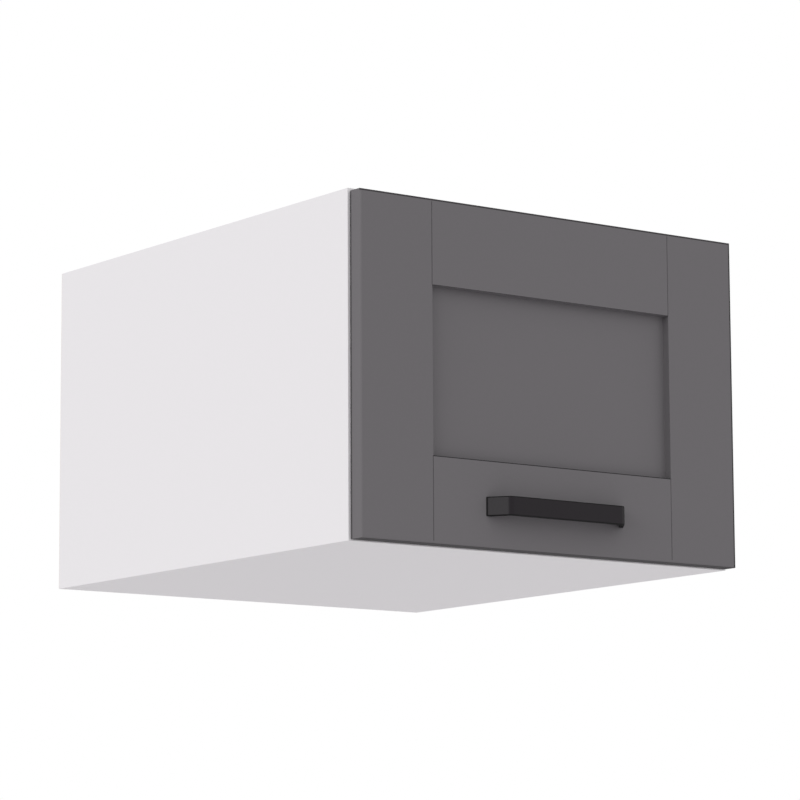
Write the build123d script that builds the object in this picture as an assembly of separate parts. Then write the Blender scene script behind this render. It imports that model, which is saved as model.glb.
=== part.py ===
from build123d import *
import math
import os

# Kitchen wall cabinet for the deep space above a tall appliance: a carcass of coated boards, a framed
# door that lifts up on two concealed cup hinges, one gas strut, and hidden corner hangers.
# Millimetres, X to the right as seen from the front, Y into the wall, Z up. The origin is midway
# between the two hanger hooks, on the wall plane, at the height of the edges that rest on the wall rail.

# Carcass
WIDTH = 500.0
HEIGHT = 360.0
CARCASS_DEPTH = 560.0
BOARD = 16.0
EDGE_BAND = 0.8
BACK_BOARD = 3.0
BACK_SETBACK = 18.0
BACK_GROOVE = 8.0
BACK_EDGE_PLAY = 0.5

# Door
DOOR_THICKNESS = 18.0
DOOR_GAP = 1.5
SIDE_REVEAL = 2.0
TOP_REVEAL = 3.0
BOTTOM_REVEAL = 1.0
FRAME_WIDTH = 90.0
PANEL_RECESS = 9.0
PANEL_THICKNESS = 6.0
PANEL_GROOVE = 9.0
PANEL_PLAY = 1.0
GROOVE_STOP = 14.0
DOOR_ARRIS = 1.8
EDGE_PICK = 0.01
JOINT_LINE_WIDTH = 1.2
JOINT_LINE_DEPTH = 0.9
JOINT_LINE_STOP = 3.0
BUMPER_RADIUS = 4.0
BUMPER_INSET = 7.0

# Handle
HANDLE_SPAN = 182.0
HANDLE_GRIP = 150.0
HANDLE_PROJECTION = 21.7
HANDLE_HEIGHT = 20.0
HANDLE_STRAP = 4.3
HANDLE_BEND = 7.5
HANDLE_EDGE = 0.9
HANDLE_ABOVE_EDGE = 42.5
HANDLE_HOLE_SPACING = 160.0
HANDLE_BOSS_RADIUS = 5.5
HANDLE_HOLE_DEPTH = 9.0
HANDLE_SCREW_RADIUS = 2.0
HANDLE_SCREW_BITE = 7.0
HANDLE_SCREW_CLEARANCE = 0.3

# Pan heads: the rim's bevel as a share of the head's height
HEAD_BEVEL = 0.5

# Carcass joints
DOWEL_RADIUS = 4.0
DOWEL_LENGTH = 30.0
DOWEL_IN_SIDE = 11.5
DOWEL_END_PLAY = 0.5
DOWEL_CHAMFER = 1.0
CAM_RADIUS = 7.5
CAM_DEPTH = 12.5
CAM_INSET = 34.0
CAM_HEAD_RADIUS = 3.0
CAM_BOLT_RADIUS = 3.5
CAM_NECK_RADIUS = 2.0
CAM_NECK = 6.0
CAM_THREAD_RADIUS = 2.5
CAM_THREAD = 11.0
CAM_CAP_RADIUS = 8.5
CAM_CAP = 0.9
CAM_FROM_FRONT = 70.0
CAM_REAR_INSET = 90.0
DOWEL_FROM_CAM = 32.0
FIT = 0.03

# Corner hangers
HOOK_DROP = 40.0
HANGER_WIDTH = 38.0
HANGER_HEIGHT = 58.0
HANGER_DEPTH = 24.0
HANGER_BELOW_TOP = 2.0
HANGER_WALL = 4.0
HANGER_EDGE = 2.0
HANGER_PEG_RADIUS = 5.0
HANGER_PEG = 11.0
HANGER_PEG_SPACING = 32.0
HOOK_STEEL = 2.5
HOOK_BEND = 2.0
HOOK_WIDTH = 14.0
HOOK_SIDE_PLAY = 1.0
HOOK_ADJUST = 6.0
HOOK_FROM_WALL = 4.5
HOOK_TIP = 10.0
HOOK_LEG = 24.0
HOOK_LEG_SETBACK = 12.0
HANGER_SCREW_RADIUS = 3.0
HANGER_SCREW_HEAD = 4.5
HANGER_SCREW_HEAD_HEIGHT = 2.0

# Door axis and its travel
AXIS_BEHIND_FACE = 5.0
AXIS_BELOW_EDGE = 4.0
OPEN_ANGLE = 85.0

# Cup hinges
HINGE_STILE_CLEARANCE = 2.5
CUP_RADIUS = 17.5
CUP_DEPTH = 12.0
CUP_FROM_EDGE = 3.0
CUP_WALL = 0.9
CUP_FLOOR = 1.0
CUP_FLANGE = 1.0
CUP_FLANGE_LIP = 1.0
CUP_EAR_SPACING = 48.0
CUP_EAR_BELOW_CENTRE = 6.0
CUP_EAR_RADIUS = 5.5
CUP_SCREW_RADIUS = 1.9
CUP_SCREW_LENGTH = 11.0
CUP_SCREW_HEAD_RADIUS = 3.4
CUP_SCREW_HEAD = 1.4
INNER_PIVOT_RADIUS = 10.0
INNER_PIVOT_ANGLE = 30.0
INNER_ARM_RADIUS = 30.0
OUTER_PIVOT_RADIUS = 7.5
OUTER_PIVOT_ANGLE = 37.0
OUTER_ARM_RADIUS = 29.0
INNER_LINK_HALF = 2.4
LUG_INNER = 2.7
LUG_OUTER = 3.7
OUTER_LINK_INNER = 4.0
OUTER_LINK_OUTER = 5.2
ARM_INNER = 5.5
ARM_OUTER = 6.7
LINK_HALF_THICKNESS = 1.2
LINK_EYE_RADIUS = 1.9
LINK_TIP_RADIUS = 1.6
PIN_RADIUS = 1.1
PIN_CLEARANCE = 0.05
WEB_START = 4.0
WEB_END = 13.0
WEB_OFFSET = 1.5
WEB_THICKNESS = 0.9
NOSE_RADIUS = 2.6
CHEEK_DEPTH = 8.5
CHEEK_OUTER = 8.5
CHEEK_BELOW_RIM = 1.0
LINK_SIDE_GAP = 0.3

# Hinge arms and mounting plates
PLATE_FROM_FRONT = 37.0
PLATE_LENGTH = 52.0
PLATE_WING = 22.0
PLATE_WING_LENGTH = 18.0
PLATE_WING_THICKNESS = 2.2
PLATE_WING_CORNER = 4.5
PLATE_RAIL_CHAMFER = 1.5
PLATE_SIDE_PLAY = 0.3
PLATE_SCREW_SPACING = 32.0
PLATE_SCREW_RADIUS = 2.0
PLATE_SCREW_LENGTH = 12.0
PLATE_SCREW_HEAD_RADIUS = 3.6
PLATE_SCREW_HEAD = 2.0
ARM_LENGTH = 62.0
ARM_DROP = 12.0
ARM_STEEL = 1.2
ARM_FLANGE_GAP = 3.0
ARM_SLOPE_START = 14.0
ARM_NOSE_UNDER = 4.0
ARM_NOSE_OVER = 1.0
ARM_SHOULDER_BACK = 6.0
ARM_SHOULDER_DROP = 4.0
ARM_SCREW_RADIUS = 2.5
ARM_SCREW_HEAD_RADIUS = 4.0
ARM_SCREW_HEAD = 1.6
ARM_SCREW_FROM_PLATE_END = 9.0

# Gas strut
STRUT_FROM_SIDE = 14.0
STRUT_LOWER_BACK = 120.0
STRUT_LOWER_DOWN = 200.0
STRUT_UPPER_DOWN = 60.0
STRUT_STANDOFF = 20.0
BALL_RADIUS = 4.0
BALL_CLEARANCE = 0.05
BALL_NECK_RADIUS = 2.2
SOCKET_RADIUS = 6.0
SOCKET_HALF = 6.5
SOCKET_NECK_RADIUS = 4.5
SOCKET_NECK = 14.0
TUBE_RADIUS = 7.5
TUBE_WALL = 1.0
TUBE_OVER_NECK = 2.0
TUBE_FLOOR = 3.0
TUBE_ROLL = 1.5
TUBE_MOUTH_GAP = 1.0
ROD_RADIUS = 3.0
ROD_LENGTH = 110.0
ROD_EXPOSED = 3.0
ROD_IN_SOCKET = 4.0
ROD_CLEARANCE = 0.04
GLAND_LENGTH = 12.0
PISTON_RADIUS = 6.4
PISTON_LENGTH = 6.0
STUD_GAP = 0.3
STUD_LENGTH = 3.0
BRACKET_STEEL = 2.0
SIDE_BRACKET_HALF_HEIGHT = 20.0
SIDE_BRACKET_HALF_WIDTH = 9.0
SIDE_BRACKET_CORNER = 7.0
SIDE_SCREW_OFFSET = 13.0
DOOR_BRACKET_WIDTH = 26.0
DOOR_BRACKET_START = 5.0
DOOR_BRACKET_LENGTH = 28.0
DOOR_BRACKET_CORNER = 4.0
DOOR_BRACKET_EYE = 4.4
DOOR_SCREW_OFFSET = 3.0
DOOR_SCREW_INSET = 7.0
BRACKET_SCREW_RADIUS = 2.0
BRACKET_SCREW_HEAD_RADIUS = 3.6
BRACKET_SCREW_HEAD = 1.8
BRACKET_SCREW_LENGTH = 12.0

# Planes that several pieces share
HALF = WIDTH / 2
INNER_HALF = HALF - BOARD
TOP = HOOK_DROP
BOTTOM = TOP - HEIGHT
INNER_TOP = TOP - BOARD
INNER_BOTTOM = BOTTOM + BOARD
FRONT = -CARCASS_DEPTH
BOARD_FRONT = FRONT + EDGE_BAND
BACK_REAR = -BACK_SETBACK
BACK_FRONT = BACK_REAR - BACK_BOARD
DOOR_BACK = FRONT - DOOR_GAP
DOOR_FRONT = DOOR_BACK - DOOR_THICKNESS
DOOR_TOP = TOP - TOP_REVEAL
DOOR_BOTTOM = BOTTOM + BOTTOM_REVEAL
DOOR_HALF = HALF - SIDE_REVEAL
STILE_INNER = DOOR_HALF - FRAME_WIDTH
RAIL_TOP_EDGE = DOOR_TOP - FRAME_WIDTH
RAIL_BOTTOM_EDGE = DOOR_BOTTOM + FRAME_WIDTH
PANEL_FRONT = DOOR_FRONT + PANEL_RECESS
PANEL_BACK = PANEL_FRONT + PANEL_THICKNESS
HANDLE_Z = DOOR_BOTTOM + HANDLE_ABOVE_EDGE
HANDLE_HOLE_X = HANDLE_HOLE_SPACING / 2
AXIS_Y = DOOR_FRONT + AXIS_BEHIND_FACE
AXIS_Z = DOOR_TOP - AXIS_BELOW_EDGE
HINGE_X = STILE_INNER - HINGE_STILE_CLEARANCE - CUP_EAR_RADIUS - CUP_EAR_SPACING / 2
CUP_Z = DOOR_TOP - CUP_FROM_EDGE - CUP_RADIUS
CUP_FLOOR_Y = DOOR_BACK - CUP_DEPTH + CUP_FLOOR
SIDES = (-1, 1)
CARCASS_JOINTS_Y = (FRONT + CAM_FROM_FRONT, -CAM_REAR_INSET)


# Plain shapes, placed by their limits

def block(x_limits, y_limits, z_limits):
    """A board, plate or pocket between two limits along each axis, given in either order."""
    spans = (x_limits, y_limits, z_limits)
    middle = [sum(span) / 2 for span in spans]
    size = [abs(span[1] - span[0]) for span in spans]
    return Pos(*middle) * Box(*size)


def round_x(radius, x_limits, y, z):
    """A round piece or bore along X."""
    return Pos(sum(x_limits) / 2, y, z) * Rot(0, 90, 0) * Cylinder(radius, abs(x_limits[1] - x_limits[0]))


def round_y(radius, y_limits, x, z):
    """A round piece or bore along Y."""
    return Pos(x, sum(y_limits) / 2, z) * Rot(90, 0, 0) * Cylinder(radius, abs(y_limits[1] - y_limits[0]))


def round_z(radius, z_limits, x, y):
    """A round piece or bore along Z."""
    return Pos(x, y, sum(z_limits) / 2) * Cylinder(radius, abs(z_limits[1] - z_limits[0]))


def side_outline(points, x_limits):
    """A closed outline drawn in the side view as (y, z) points, carried from one X to the other."""
    first, last = sorted(x_limits)
    outline = make_face(Polyline([(first, y, z) for y, z in points], close=True))
    return extrude(outline, last - first, dir=(1, 0, 0))


def across(side, first, last):
    """X limits of something on one side, from its nearer to its further distance off the middle."""
    return (side * first, side * last)


# The door's circle about its axis, seen from the side

def door_point(radius, degrees_down):
    """A point that the door carries, by its distance from the axis and its angle below the level."""
    angle = math.radians(degrees_down)
    return (AXIS_Y + radius * math.cos(angle), AXIS_Z - radius * math.sin(angle))


def opened(point):
    """Where a point of the closed door is once the door has lifted fully."""
    angle = math.radians(OPEN_ANGLE)
    back, up = point[0] - AXIS_Y, point[1] - AXIS_Z
    return (
        AXIS_Y + back * math.cos(angle) + up * math.sin(angle),
        AXIS_Z - back * math.sin(angle) + up * math.cos(angle),
    )


def bearing(start, end):
    """Angle in degrees of the line from start to end, from level backwards, positive upwards."""
    return math.degrees(math.atan2(end[1] - start[1], end[0] - start[0]))


def distance(start, end):
    return math.hypot(end[0] - start[0], end[1] - start[1])


def direction(start, end):
    """Unit step (y, z) from start towards end."""
    return tuple((end[i] - start[i]) / distance(start, end) for i in range(2))


# A link's fixed pivot lies on the line that halves the angle between its two cup positions, so that
# the link has its exact length both with the door shut and with it fully lifted.
INNER_CUP_PIVOT = door_point(INNER_PIVOT_RADIUS, INNER_PIVOT_ANGLE)
INNER_ARM_PIVOT = door_point(INNER_ARM_RADIUS, INNER_PIVOT_ANGLE + OPEN_ANGLE / 2)
OUTER_CUP_PIVOT = door_point(OUTER_PIVOT_RADIUS, OUTER_PIVOT_ANGLE)
OUTER_ARM_PIVOT = door_point(OUTER_ARM_RADIUS, OUTER_PIVOT_ANGLE + OPEN_ANGLE / 2)

# Gas strut: the lower ball on the right side panel, the upper one on the back of the right stile.
STRUT_X = INNER_HALF - STRUT_FROM_SIDE
STRUT_LOWER = (AXIS_Y + STRUT_LOWER_BACK, AXIS_Z - STRUT_LOWER_DOWN)
STRUT_UPPER = (DOOR_BACK + STRUT_STANDOFF, AXIS_Z - STRUT_UPPER_DOWN)
STRUT_LENGTH = distance(STRUT_LOWER, STRUT_UPPER)
STRUT_STROKE = distance(STRUT_LOWER, opened(STRUT_UPPER)) - STRUT_LENGTH
STRUT_TURN = bearing(STRUT_LOWER, opened(STRUT_UPPER)) - bearing(STRUT_LOWER, STRUT_UPPER)
STRUT_FRAME = (
    Pos(STRUT_X, STRUT_LOWER[0], STRUT_LOWER[1]) * Rot(bearing(STRUT_LOWER, STRUT_UPPER) - 90, 0, 0)
)
TUBE_START = SOCKET_NECK - TUBE_OVER_NECK
TUBE_END = STRUT_LENGTH - SOCKET_NECK - ROD_EXPOSED


# Carcass boards

def dowel_y(cam_y):
    """The dowel beside a cam, on the side of it that faces the panel's middle."""
    toward_middle = DOWEL_FROM_CAM if cam_y == CARCASS_JOINTS_Y[0] else -DOWEL_FROM_CAM
    return cam_y + toward_middle


def joint_bores(side, z_middle):
    """Dowel holes and cam bolt holes of one corner, in the side panel and in the end it meets."""
    face = INNER_HALF
    bores = []
    for y in CARCASS_JOINTS_Y:
        side_bore = across(side, face, face + DOWEL_IN_SIDE + DOWEL_END_PLAY)
        end_bore = across(side, face - (DOWEL_LENGTH - DOWEL_IN_SIDE) - DOWEL_END_PLAY, face)
        bores.append(round_x(DOWEL_RADIUS + FIT, side_bore, dowel_y(y), z_middle))
        bores.append(round_x(DOWEL_RADIUS + FIT, end_bore, dowel_y(y), z_middle))
        bores.append(round_x(CAM_THREAD_RADIUS + FIT, across(side, face, face + CAM_THREAD), y, z_middle))
        bores.append(round_x(CAM_BOLT_RADIUS + FIT, across(side, face - CAM_INSET, face), y, z_middle))
    return bores


def side_panel(side):
    """Full-height side with the back groove and the bores for its corners, hanger and strut."""
    panel = block(across(side, INNER_HALF, HALF), (BOARD_FRONT, 0), (BOTTOM, TOP))
    groove_x = across(side, INNER_HALF, INNER_HALF + BACK_GROOVE)
    panel -= block(groove_x, (BACK_FRONT, BACK_REAR), (INNER_BOTTOM - BACK_GROOVE, INNER_TOP + BACK_GROOVE))
    for z_middle in (INNER_TOP + BOARD / 2, INNER_BOTTOM - BOARD / 2):
        for bore in joint_bores(side, z_middle):
            panel -= bore
    for z in hanger_peg_heights():
        peg_hole = across(side, INNER_HALF, INNER_HALF + HANGER_PEG + DOWEL_END_PLAY)
        panel -= round_x(HANGER_PEG_RADIUS + FIT, peg_hole, hanger_peg_y(), z)
    if side > 0:
        for y, z in side_bracket_screws():
            screw_hole = (INNER_HALF, INNER_HALF + BRACKET_SCREW_LENGTH - BRACKET_STEEL)
            panel -= round_x(BRACKET_SCREW_RADIUS + FIT, screw_hole, y, z)
    return panel


def level_panel(inner_face, outer_face):
    """Top or bottom board between the sides, with the back groove and the cam pockets inside."""
    inward = 1 if outer_face > inner_face else -1
    panel = block((-INNER_HALF, INNER_HALF), (BOARD_FRONT, 0), (inner_face, outer_face))
    groove_z = (inner_face, inner_face + inward * BACK_GROOVE)
    panel -= block((-INNER_HALF, INNER_HALF), (BACK_FRONT, BACK_REAR), groove_z)
    for side in SIDES:
        for bore in joint_bores(side, (inner_face + outer_face) / 2):
            panel -= bore
        for y in CARCASS_JOINTS_Y:
            pocket_z = (inner_face, inner_face + inward * CAM_DEPTH)
            panel -= round_z(CAM_RADIUS + FIT, pocket_z, side * (INNER_HALF - CAM_INSET), y)
    return panel


def top_panel():
    """Top board, also bored on its underside for the hinge plates' screws."""
    panel = level_panel(INNER_TOP, TOP)
    bite = PLATE_SCREW_LENGTH - PLATE_WING_THICKNESS
    for x, y in plate_screw_places(-1) + plate_screw_places(1):
        panel -= round_z(PLATE_SCREW_RADIUS + FIT, (INNER_TOP, INNER_TOP + bite), x, y)
    return panel


def back_panel():
    """Thin back board, slid into its grooves, slotted where the hanger hooks pass through."""
    half = INNER_HALF + BACK_GROOVE - BACK_EDGE_PLAY
    low = INNER_BOTTOM - BACK_GROOVE + BACK_EDGE_PLAY
    high = INNER_TOP + BACK_GROOVE - BACK_EDGE_PLAY
    panel = block((-half, half), (BACK_FRONT, BACK_REAR), (low, high))
    slot_half = HOOK_WIDTH / 2 + HOOK_SIDE_PLAY
    for side in SIDES:
        x = hanger_x(side)
        panel -= block(
            (x - slot_half, x + slot_half),
            (BACK_FRONT, BACK_REAR),
            (-HOOK_TIP - HOOK_ADJUST, HOOK_STEEL + HOOK_ADJUST),
        )
    return panel


def front_edge_bands():
    """Edge strips on the four front edges, mitre-free: the level ones end against the upright ones."""
    depth = (FRONT, BOARD_FRONT)
    bands = [block(across(side, INNER_HALF, HALF), depth, (BOTTOM, TOP)) for side in SIDES]
    bands.append(block((-INNER_HALF, INNER_HALF), depth, (INNER_TOP, TOP)))
    bands.append(block((-INNER_HALF, INNER_HALF), depth, (BOTTOM, INNER_BOTTOM)))
    return bands


# Corner joints

def carcass_corners():
    """Each corner's side and its level board's inner face, with the way from that face into the board."""
    for side in SIDES:
        yield side, INNER_TOP, 1
        yield side, INNER_BOTTOM, -1


def carcass_dowels():
    dowels = []
    for side, inner_face, inward in carcass_corners():
        z = inner_face + inward * BOARD / 2
        for cam_y in CARCASS_JOINTS_Y:
            span = across(side, INNER_HALF - (DOWEL_LENGTH - DOWEL_IN_SIDE), INNER_HALF + DOWEL_IN_SIDE)
            dowel = round_x(DOWEL_RADIUS, span, dowel_y(cam_y), z)
            dowels.append(chamfer(dowel.edges().filter_by(GeomType.CIRCLE), DOWEL_CHAMFER))
    return dowels


def cam_bolts():
    """Bolts screwed into the sides: thread, collar, neck and the head that the cam pulls on."""
    bolts = []
    for side, inner_face, inward in carcass_corners():
        z = inner_face + inward * BOARD / 2
        for y in CARCASS_JOINTS_Y:
            head_start = INNER_HALF - CAM_INSET + CAM_HEAD_RADIUS
            neck_end = head_start + CAM_NECK
            bolt = round_x(CAM_THREAD_RADIUS, across(side, INNER_HALF, INNER_HALF + CAM_THREAD), y, z)
            bolt += round_x(CAM_BOLT_RADIUS, across(side, neck_end, INNER_HALF), y, z)
            bolt += round_x(CAM_NECK_RADIUS, across(side, head_start, neck_end), y, z)
            head = across(side, head_start - CAM_HEAD_RADIUS, head_start)
            bolt += round_x(CAM_HEAD_RADIUS, head, y, z)
            bolts.append(bolt)
    return bolts


def cam_locks():
    """Round cams in the boards, hollowed for the bolt's head and slotted for its neck."""
    cams = []
    for side, inner_face, inward in carcass_corners():
        z = inner_face + inward * BOARD / 2
        for y in CARCASS_JOINTS_Y:
            x = side * (INNER_HALF - CAM_INSET)
            cam = round_z(CAM_RADIUS, (inner_face, inner_face + inward * CAM_DEPTH), x, y)
            chamber = CAM_HEAD_RADIUS + FIT
            chamber_x = (x - side * FIT, x + side * CAM_RADIUS)
            cam -= block(chamber_x, (y - chamber, y + chamber), (z - chamber, z + chamber))
            collar = CAM_BOLT_RADIUS + FIT
            collar_x = (x + side * (CAM_HEAD_RADIUS + CAM_NECK - FIT), x + side * CAM_RADIUS)
            cam -= block(collar_x, (y - collar, y + collar), (z - collar, z + collar))
            cams.append(cam)
    return cams


def cam_caps():
    """Cover caps pressed over the cams, flat discs with a bevelled rim."""
    caps = []
    for side, inner_face, inward in carcass_corners():
        for y in CARCASS_JOINTS_Y:
            x = side * (INNER_HALF - CAM_INSET)
            cap = round_z(CAM_CAP_RADIUS, (inner_face, inner_face - inward * CAM_CAP), x, y)
            rim = cap.faces().sort_by(Axis.Z)[0 if inward > 0 else -1].edges()
            caps.append(chamfer(rim, CAM_CAP / 2))
    return caps


# Corner hangers

def hanger_x(side):
    return side * (INNER_HALF - HANGER_WIDTH / 2)


def hanger_top():
    return INNER_TOP - HANGER_BELOW_TOP


def hanger_peg_y():
    return BACK_FRONT - HANGER_DEPTH / 2


def hanger_peg_heights():
    middle = hanger_top() - HANGER_HEIGHT / 2
    return (middle - HANGER_PEG_SPACING / 2, middle + HANGER_PEG_SPACING / 2)


def hanger_screw_heights():
    """The depth screw bears high on the hook's leg, the height screw low on it."""
    return (HOOK_STEEL - HANGER_SCREW_HEAD, HOOK_STEEL - HOOK_LEG + HANGER_SCREW_RADIUS)


def hanger_body(side):
    """Moulded case in the upper back corner, pegged into the side panel, open behind for the hook."""
    x = hanger_x(side)
    face = BACK_FRONT - HANGER_DEPTH
    low = hanger_top() - HANGER_HEIGHT
    case = block((x - HANGER_WIDTH / 2, x + HANGER_WIDTH / 2), (face, BACK_FRONT), (low, hanger_top()))
    case = fillet(case.faces().sort_by(Axis.Y)[0].edges(), HANGER_EDGE)
    room_half = HOOK_WIDTH / 2 + HOOK_SIDE_PLAY
    case -= block(
        (x - room_half, x + room_half),
        (face + HANGER_WALL, BACK_FRONT),
        (HOOK_STEEL - HOOK_LEG - HOOK_ADJUST, HOOK_STEEL + HOOK_ADJUST),
    )
    for z in hanger_screw_heights():
        case -= round_y(HANGER_SCREW_RADIUS + FIT, (face, face + HANGER_WALL), x, z)
    for z in hanger_peg_heights():
        peg = across(side, INNER_HALF - HANGER_EDGE, INNER_HALF + HANGER_PEG)
        case += round_x(HANGER_PEG_RADIUS, peg, hanger_peg_y(), z)
    return case


def hanger_hook(side):
    """Steel hook: a leg inside the case, an arm through the back panel and a tip behind the wall rail."""
    leg_front = BACK_FRONT - HOOK_LEG_SETBACK
    tip_rear = -HOOK_FROM_WALL
    outline = [
        (leg_front, HOOK_STEEL),
        (tip_rear, HOOK_STEEL),
        (tip_rear, -HOOK_TIP),
        (tip_rear - HOOK_STEEL, -HOOK_TIP),
        (tip_rear - HOOK_STEEL, 0),
        (leg_front + HOOK_STEEL, 0),
        (leg_front + HOOK_STEEL, HOOK_STEEL - HOOK_LEG),
        (leg_front, HOOK_STEEL - HOOK_LEG),
    ]
    x = hanger_x(side)
    hook = side_outline(outline, (x - HOOK_WIDTH / 2, x + HOOK_WIDTH / 2))
    near_top = (HOOK_STEEL - EDGE_PICK, HOOK_STEEL + EDGE_PICK)
    outer_bends = hook.edges().filter_by(Axis.X).filter_by_position(Axis.Z, *near_top)
    return fillet(outer_bends, HOOK_BEND)


def hanger_screws():
    screws = []
    face = BACK_FRONT - HANGER_DEPTH
    leg_front = BACK_FRONT - HOOK_LEG_SETBACK
    for side in SIDES:
        for z in hanger_screw_heights():
            screw = round_y(HANGER_SCREW_RADIUS, (face, leg_front), hanger_x(side), z)
            head = round_y(HANGER_SCREW_HEAD, (face - HANGER_SCREW_HEAD_HEIGHT, face), hanger_x(side), z)
            screws.append(screw + head)
    return screws


# Door

def frame_joint_line(side, z_limits):
    """The shallow V that shows where a rail meets a stile, stopped short of the door's edge."""
    x = side * STILE_INNER
    half = JOINT_LINE_WIDTH / 2
    corners = [
        (x - half, DOOR_FRONT, z_limits[0]),
        (x + half, DOOR_FRONT, z_limits[0]),
        (x, DOOR_FRONT + JOINT_LINE_DEPTH, z_limits[0]),
    ]
    return extrude(make_face(Polyline(corners, close=True)), z_limits[1] - z_limits[0], dir=(0, 0, 1))


def cut_joint_lines(piece):
    for side in SIDES:
        piece -= frame_joint_line(side, (RAIL_TOP_EDGE, DOOR_TOP - JOINT_LINE_STOP))
        piece -= frame_joint_line(side, (DOOR_BOTTOM + JOINT_LINE_STOP, RAIL_BOTTOM_EDGE))
    return piece


def round_front_edges(piece, *planes):
    """Rounds the front edges that lie on the door's outside, each given by its axis and position."""
    front = piece.faces().sort_by(Axis.Y)[0]
    chosen = []
    for axis, position in planes:
        chosen += front.edges().filter_by_position(axis, position - EDGE_PICK, position + EDGE_PICK)
    return fillet(chosen, DOOR_ARRIS)


def door_stile(side):
    """Upright frame member, the full height of the door, grooved for the panel and the tenons."""
    stile = block(across(side, STILE_INNER, DOOR_HALF), (DOOR_FRONT, DOOR_BACK), (DOOR_BOTTOM, DOOR_TOP))
    stile = round_front_edges(stile, (Axis.X, side * DOOR_HALF), (Axis.Z, DOOR_TOP), (Axis.Z, DOOR_BOTTOM))
    groove_x = across(side, STILE_INNER, STILE_INNER + PANEL_GROOVE)
    stile -= block(groove_x, (PANEL_FRONT, PANEL_BACK), (DOOR_BOTTOM + GROOVE_STOP, DOOR_TOP - GROOVE_STOP))
    if side > 0:
        for x, z in door_bracket_screws():
            bite = BRACKET_SCREW_LENGTH - BRACKET_STEEL
            stile -= round_y(BRACKET_SCREW_RADIUS + FIT, (DOOR_BACK - bite, DOOR_BACK), x, z)
    return cut_joint_lines(stile)


def door_rail(outer_edge, inner_edge):
    """Level frame member with a stub tenon at each end that fills the stile's groove."""
    low, high = sorted((outer_edge, inner_edge))
    rail = block((-STILE_INNER, STILE_INNER), (DOOR_FRONT, DOOR_BACK), (low, high))
    rail = round_front_edges(rail, (Axis.Z, outer_edge))
    inward = 1 if inner_edge > outer_edge else -1
    groove_z = (inner_edge - inward * PANEL_GROOVE, inner_edge)
    rail -= block((-STILE_INNER, STILE_INNER), (PANEL_FRONT, PANEL_BACK), groove_z)
    tenon_z = (outer_edge + inward * GROOVE_STOP, inner_edge - inward * PANEL_GROOVE)
    for side in SIDES:
        tenon_x = across(side, STILE_INNER, STILE_INNER + PANEL_GROOVE)
        rail += block(tenon_x, (PANEL_FRONT, PANEL_BACK), tenon_z)
    return cut_joint_lines(rail)


def door_rail_top():
    """Top rail, bored from behind for the two hinge cups and their screws."""
    rail = door_rail(DOOR_TOP, RAIL_TOP_EDGE)
    for side in SIDES:
        x = side * HINGE_X
        rail -= round_y(CUP_RADIUS + FIT, (DOOR_BACK - CUP_DEPTH, DOOR_BACK), x, CUP_Z)
        for screw_x in cup_screw_places(x):
            bite = CUP_SCREW_LENGTH - CUP_FLANGE
            rail -= round_y(CUP_SCREW_RADIUS + FIT, (DOOR_BACK - bite, DOOR_BACK), screw_x, cup_ear_z())
    return rail


def door_rail_bottom():
    """Bottom rail, drilled through for the two handle screws."""
    rail = door_rail(DOOR_BOTTOM, RAIL_BOTTOM_EDGE)
    for side in SIDES:
        hole = HANDLE_SCREW_RADIUS + HANDLE_SCREW_CLEARANCE
        rail -= round_y(hole, (DOOR_FRONT, DOOR_BACK), side * HANDLE_HOLE_X, HANDLE_Z)
    return rail


def door_panel():
    """Flat middle panel that floats in the frame's groove, clear of the groove's floor."""
    half = STILE_INNER + PANEL_GROOVE - PANEL_PLAY
    low = RAIL_BOTTOM_EDGE - PANEL_GROOVE + PANEL_PLAY
    high = RAIL_TOP_EDGE + PANEL_GROOVE - PANEL_PLAY
    return block((-half, half), (PANEL_FRONT, PANEL_BACK), (low, high))


def door_bumpers():
    """Soft self-adhesive buttons on the back of the stiles, which meet the carcass edges."""
    bumpers = []
    for side in SIDES:
        x = side * (INNER_HALF + BOARD / 2)
        for z in (DOOR_BOTTOM + BUMPER_INSET, DOOR_BOTTOM + FRAME_WIDTH):
            bumper = round_y(BUMPER_RADIUS, (DOOR_BACK, FRONT), x, z)
            rim = bumper.faces().sort_by(Axis.Y)[-1].edges()
            bumpers.append(chamfer(rim, DOOR_GAP / 2))
    return bumpers


# Handle

def handle_outline(inset):
    """The bow seen from above, from foot to foot, as (x, y) corners set in from the outer skin."""
    foot, bend = HANDLE_SPAN / 2, HANDLE_GRIP / 2
    slope = math.atan2(HANDLE_PROJECTION, foot - bend)
    foot_shift = inset / math.sin(slope)
    bend_shift = inset * math.tan(slope / 2)
    strap_y = DOOR_FRONT - HANDLE_PROJECTION + inset
    return [
        (foot - foot_shift, DOOR_FRONT),
        (bend - bend_shift, strap_y),
        (-bend + bend_shift, strap_y),
        (-foot + foot_shift, DOOR_FRONT),
    ]


def handle_solid(inset, bend_radius):
    """The bow filled in back to the door, with its two bends rounded."""
    low = HANDLE_Z - HANDLE_HEIGHT / 2
    outline = make_face(Polyline([(x, y, low) for x, y in handle_outline(inset)], close=True))
    bends = outline.vertices().sort_by(Axis.Y)[:2]
    return extrude(fillet(bends, bend_radius), HANDLE_HEIGHT, dir=(0, 0, 1))


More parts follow.
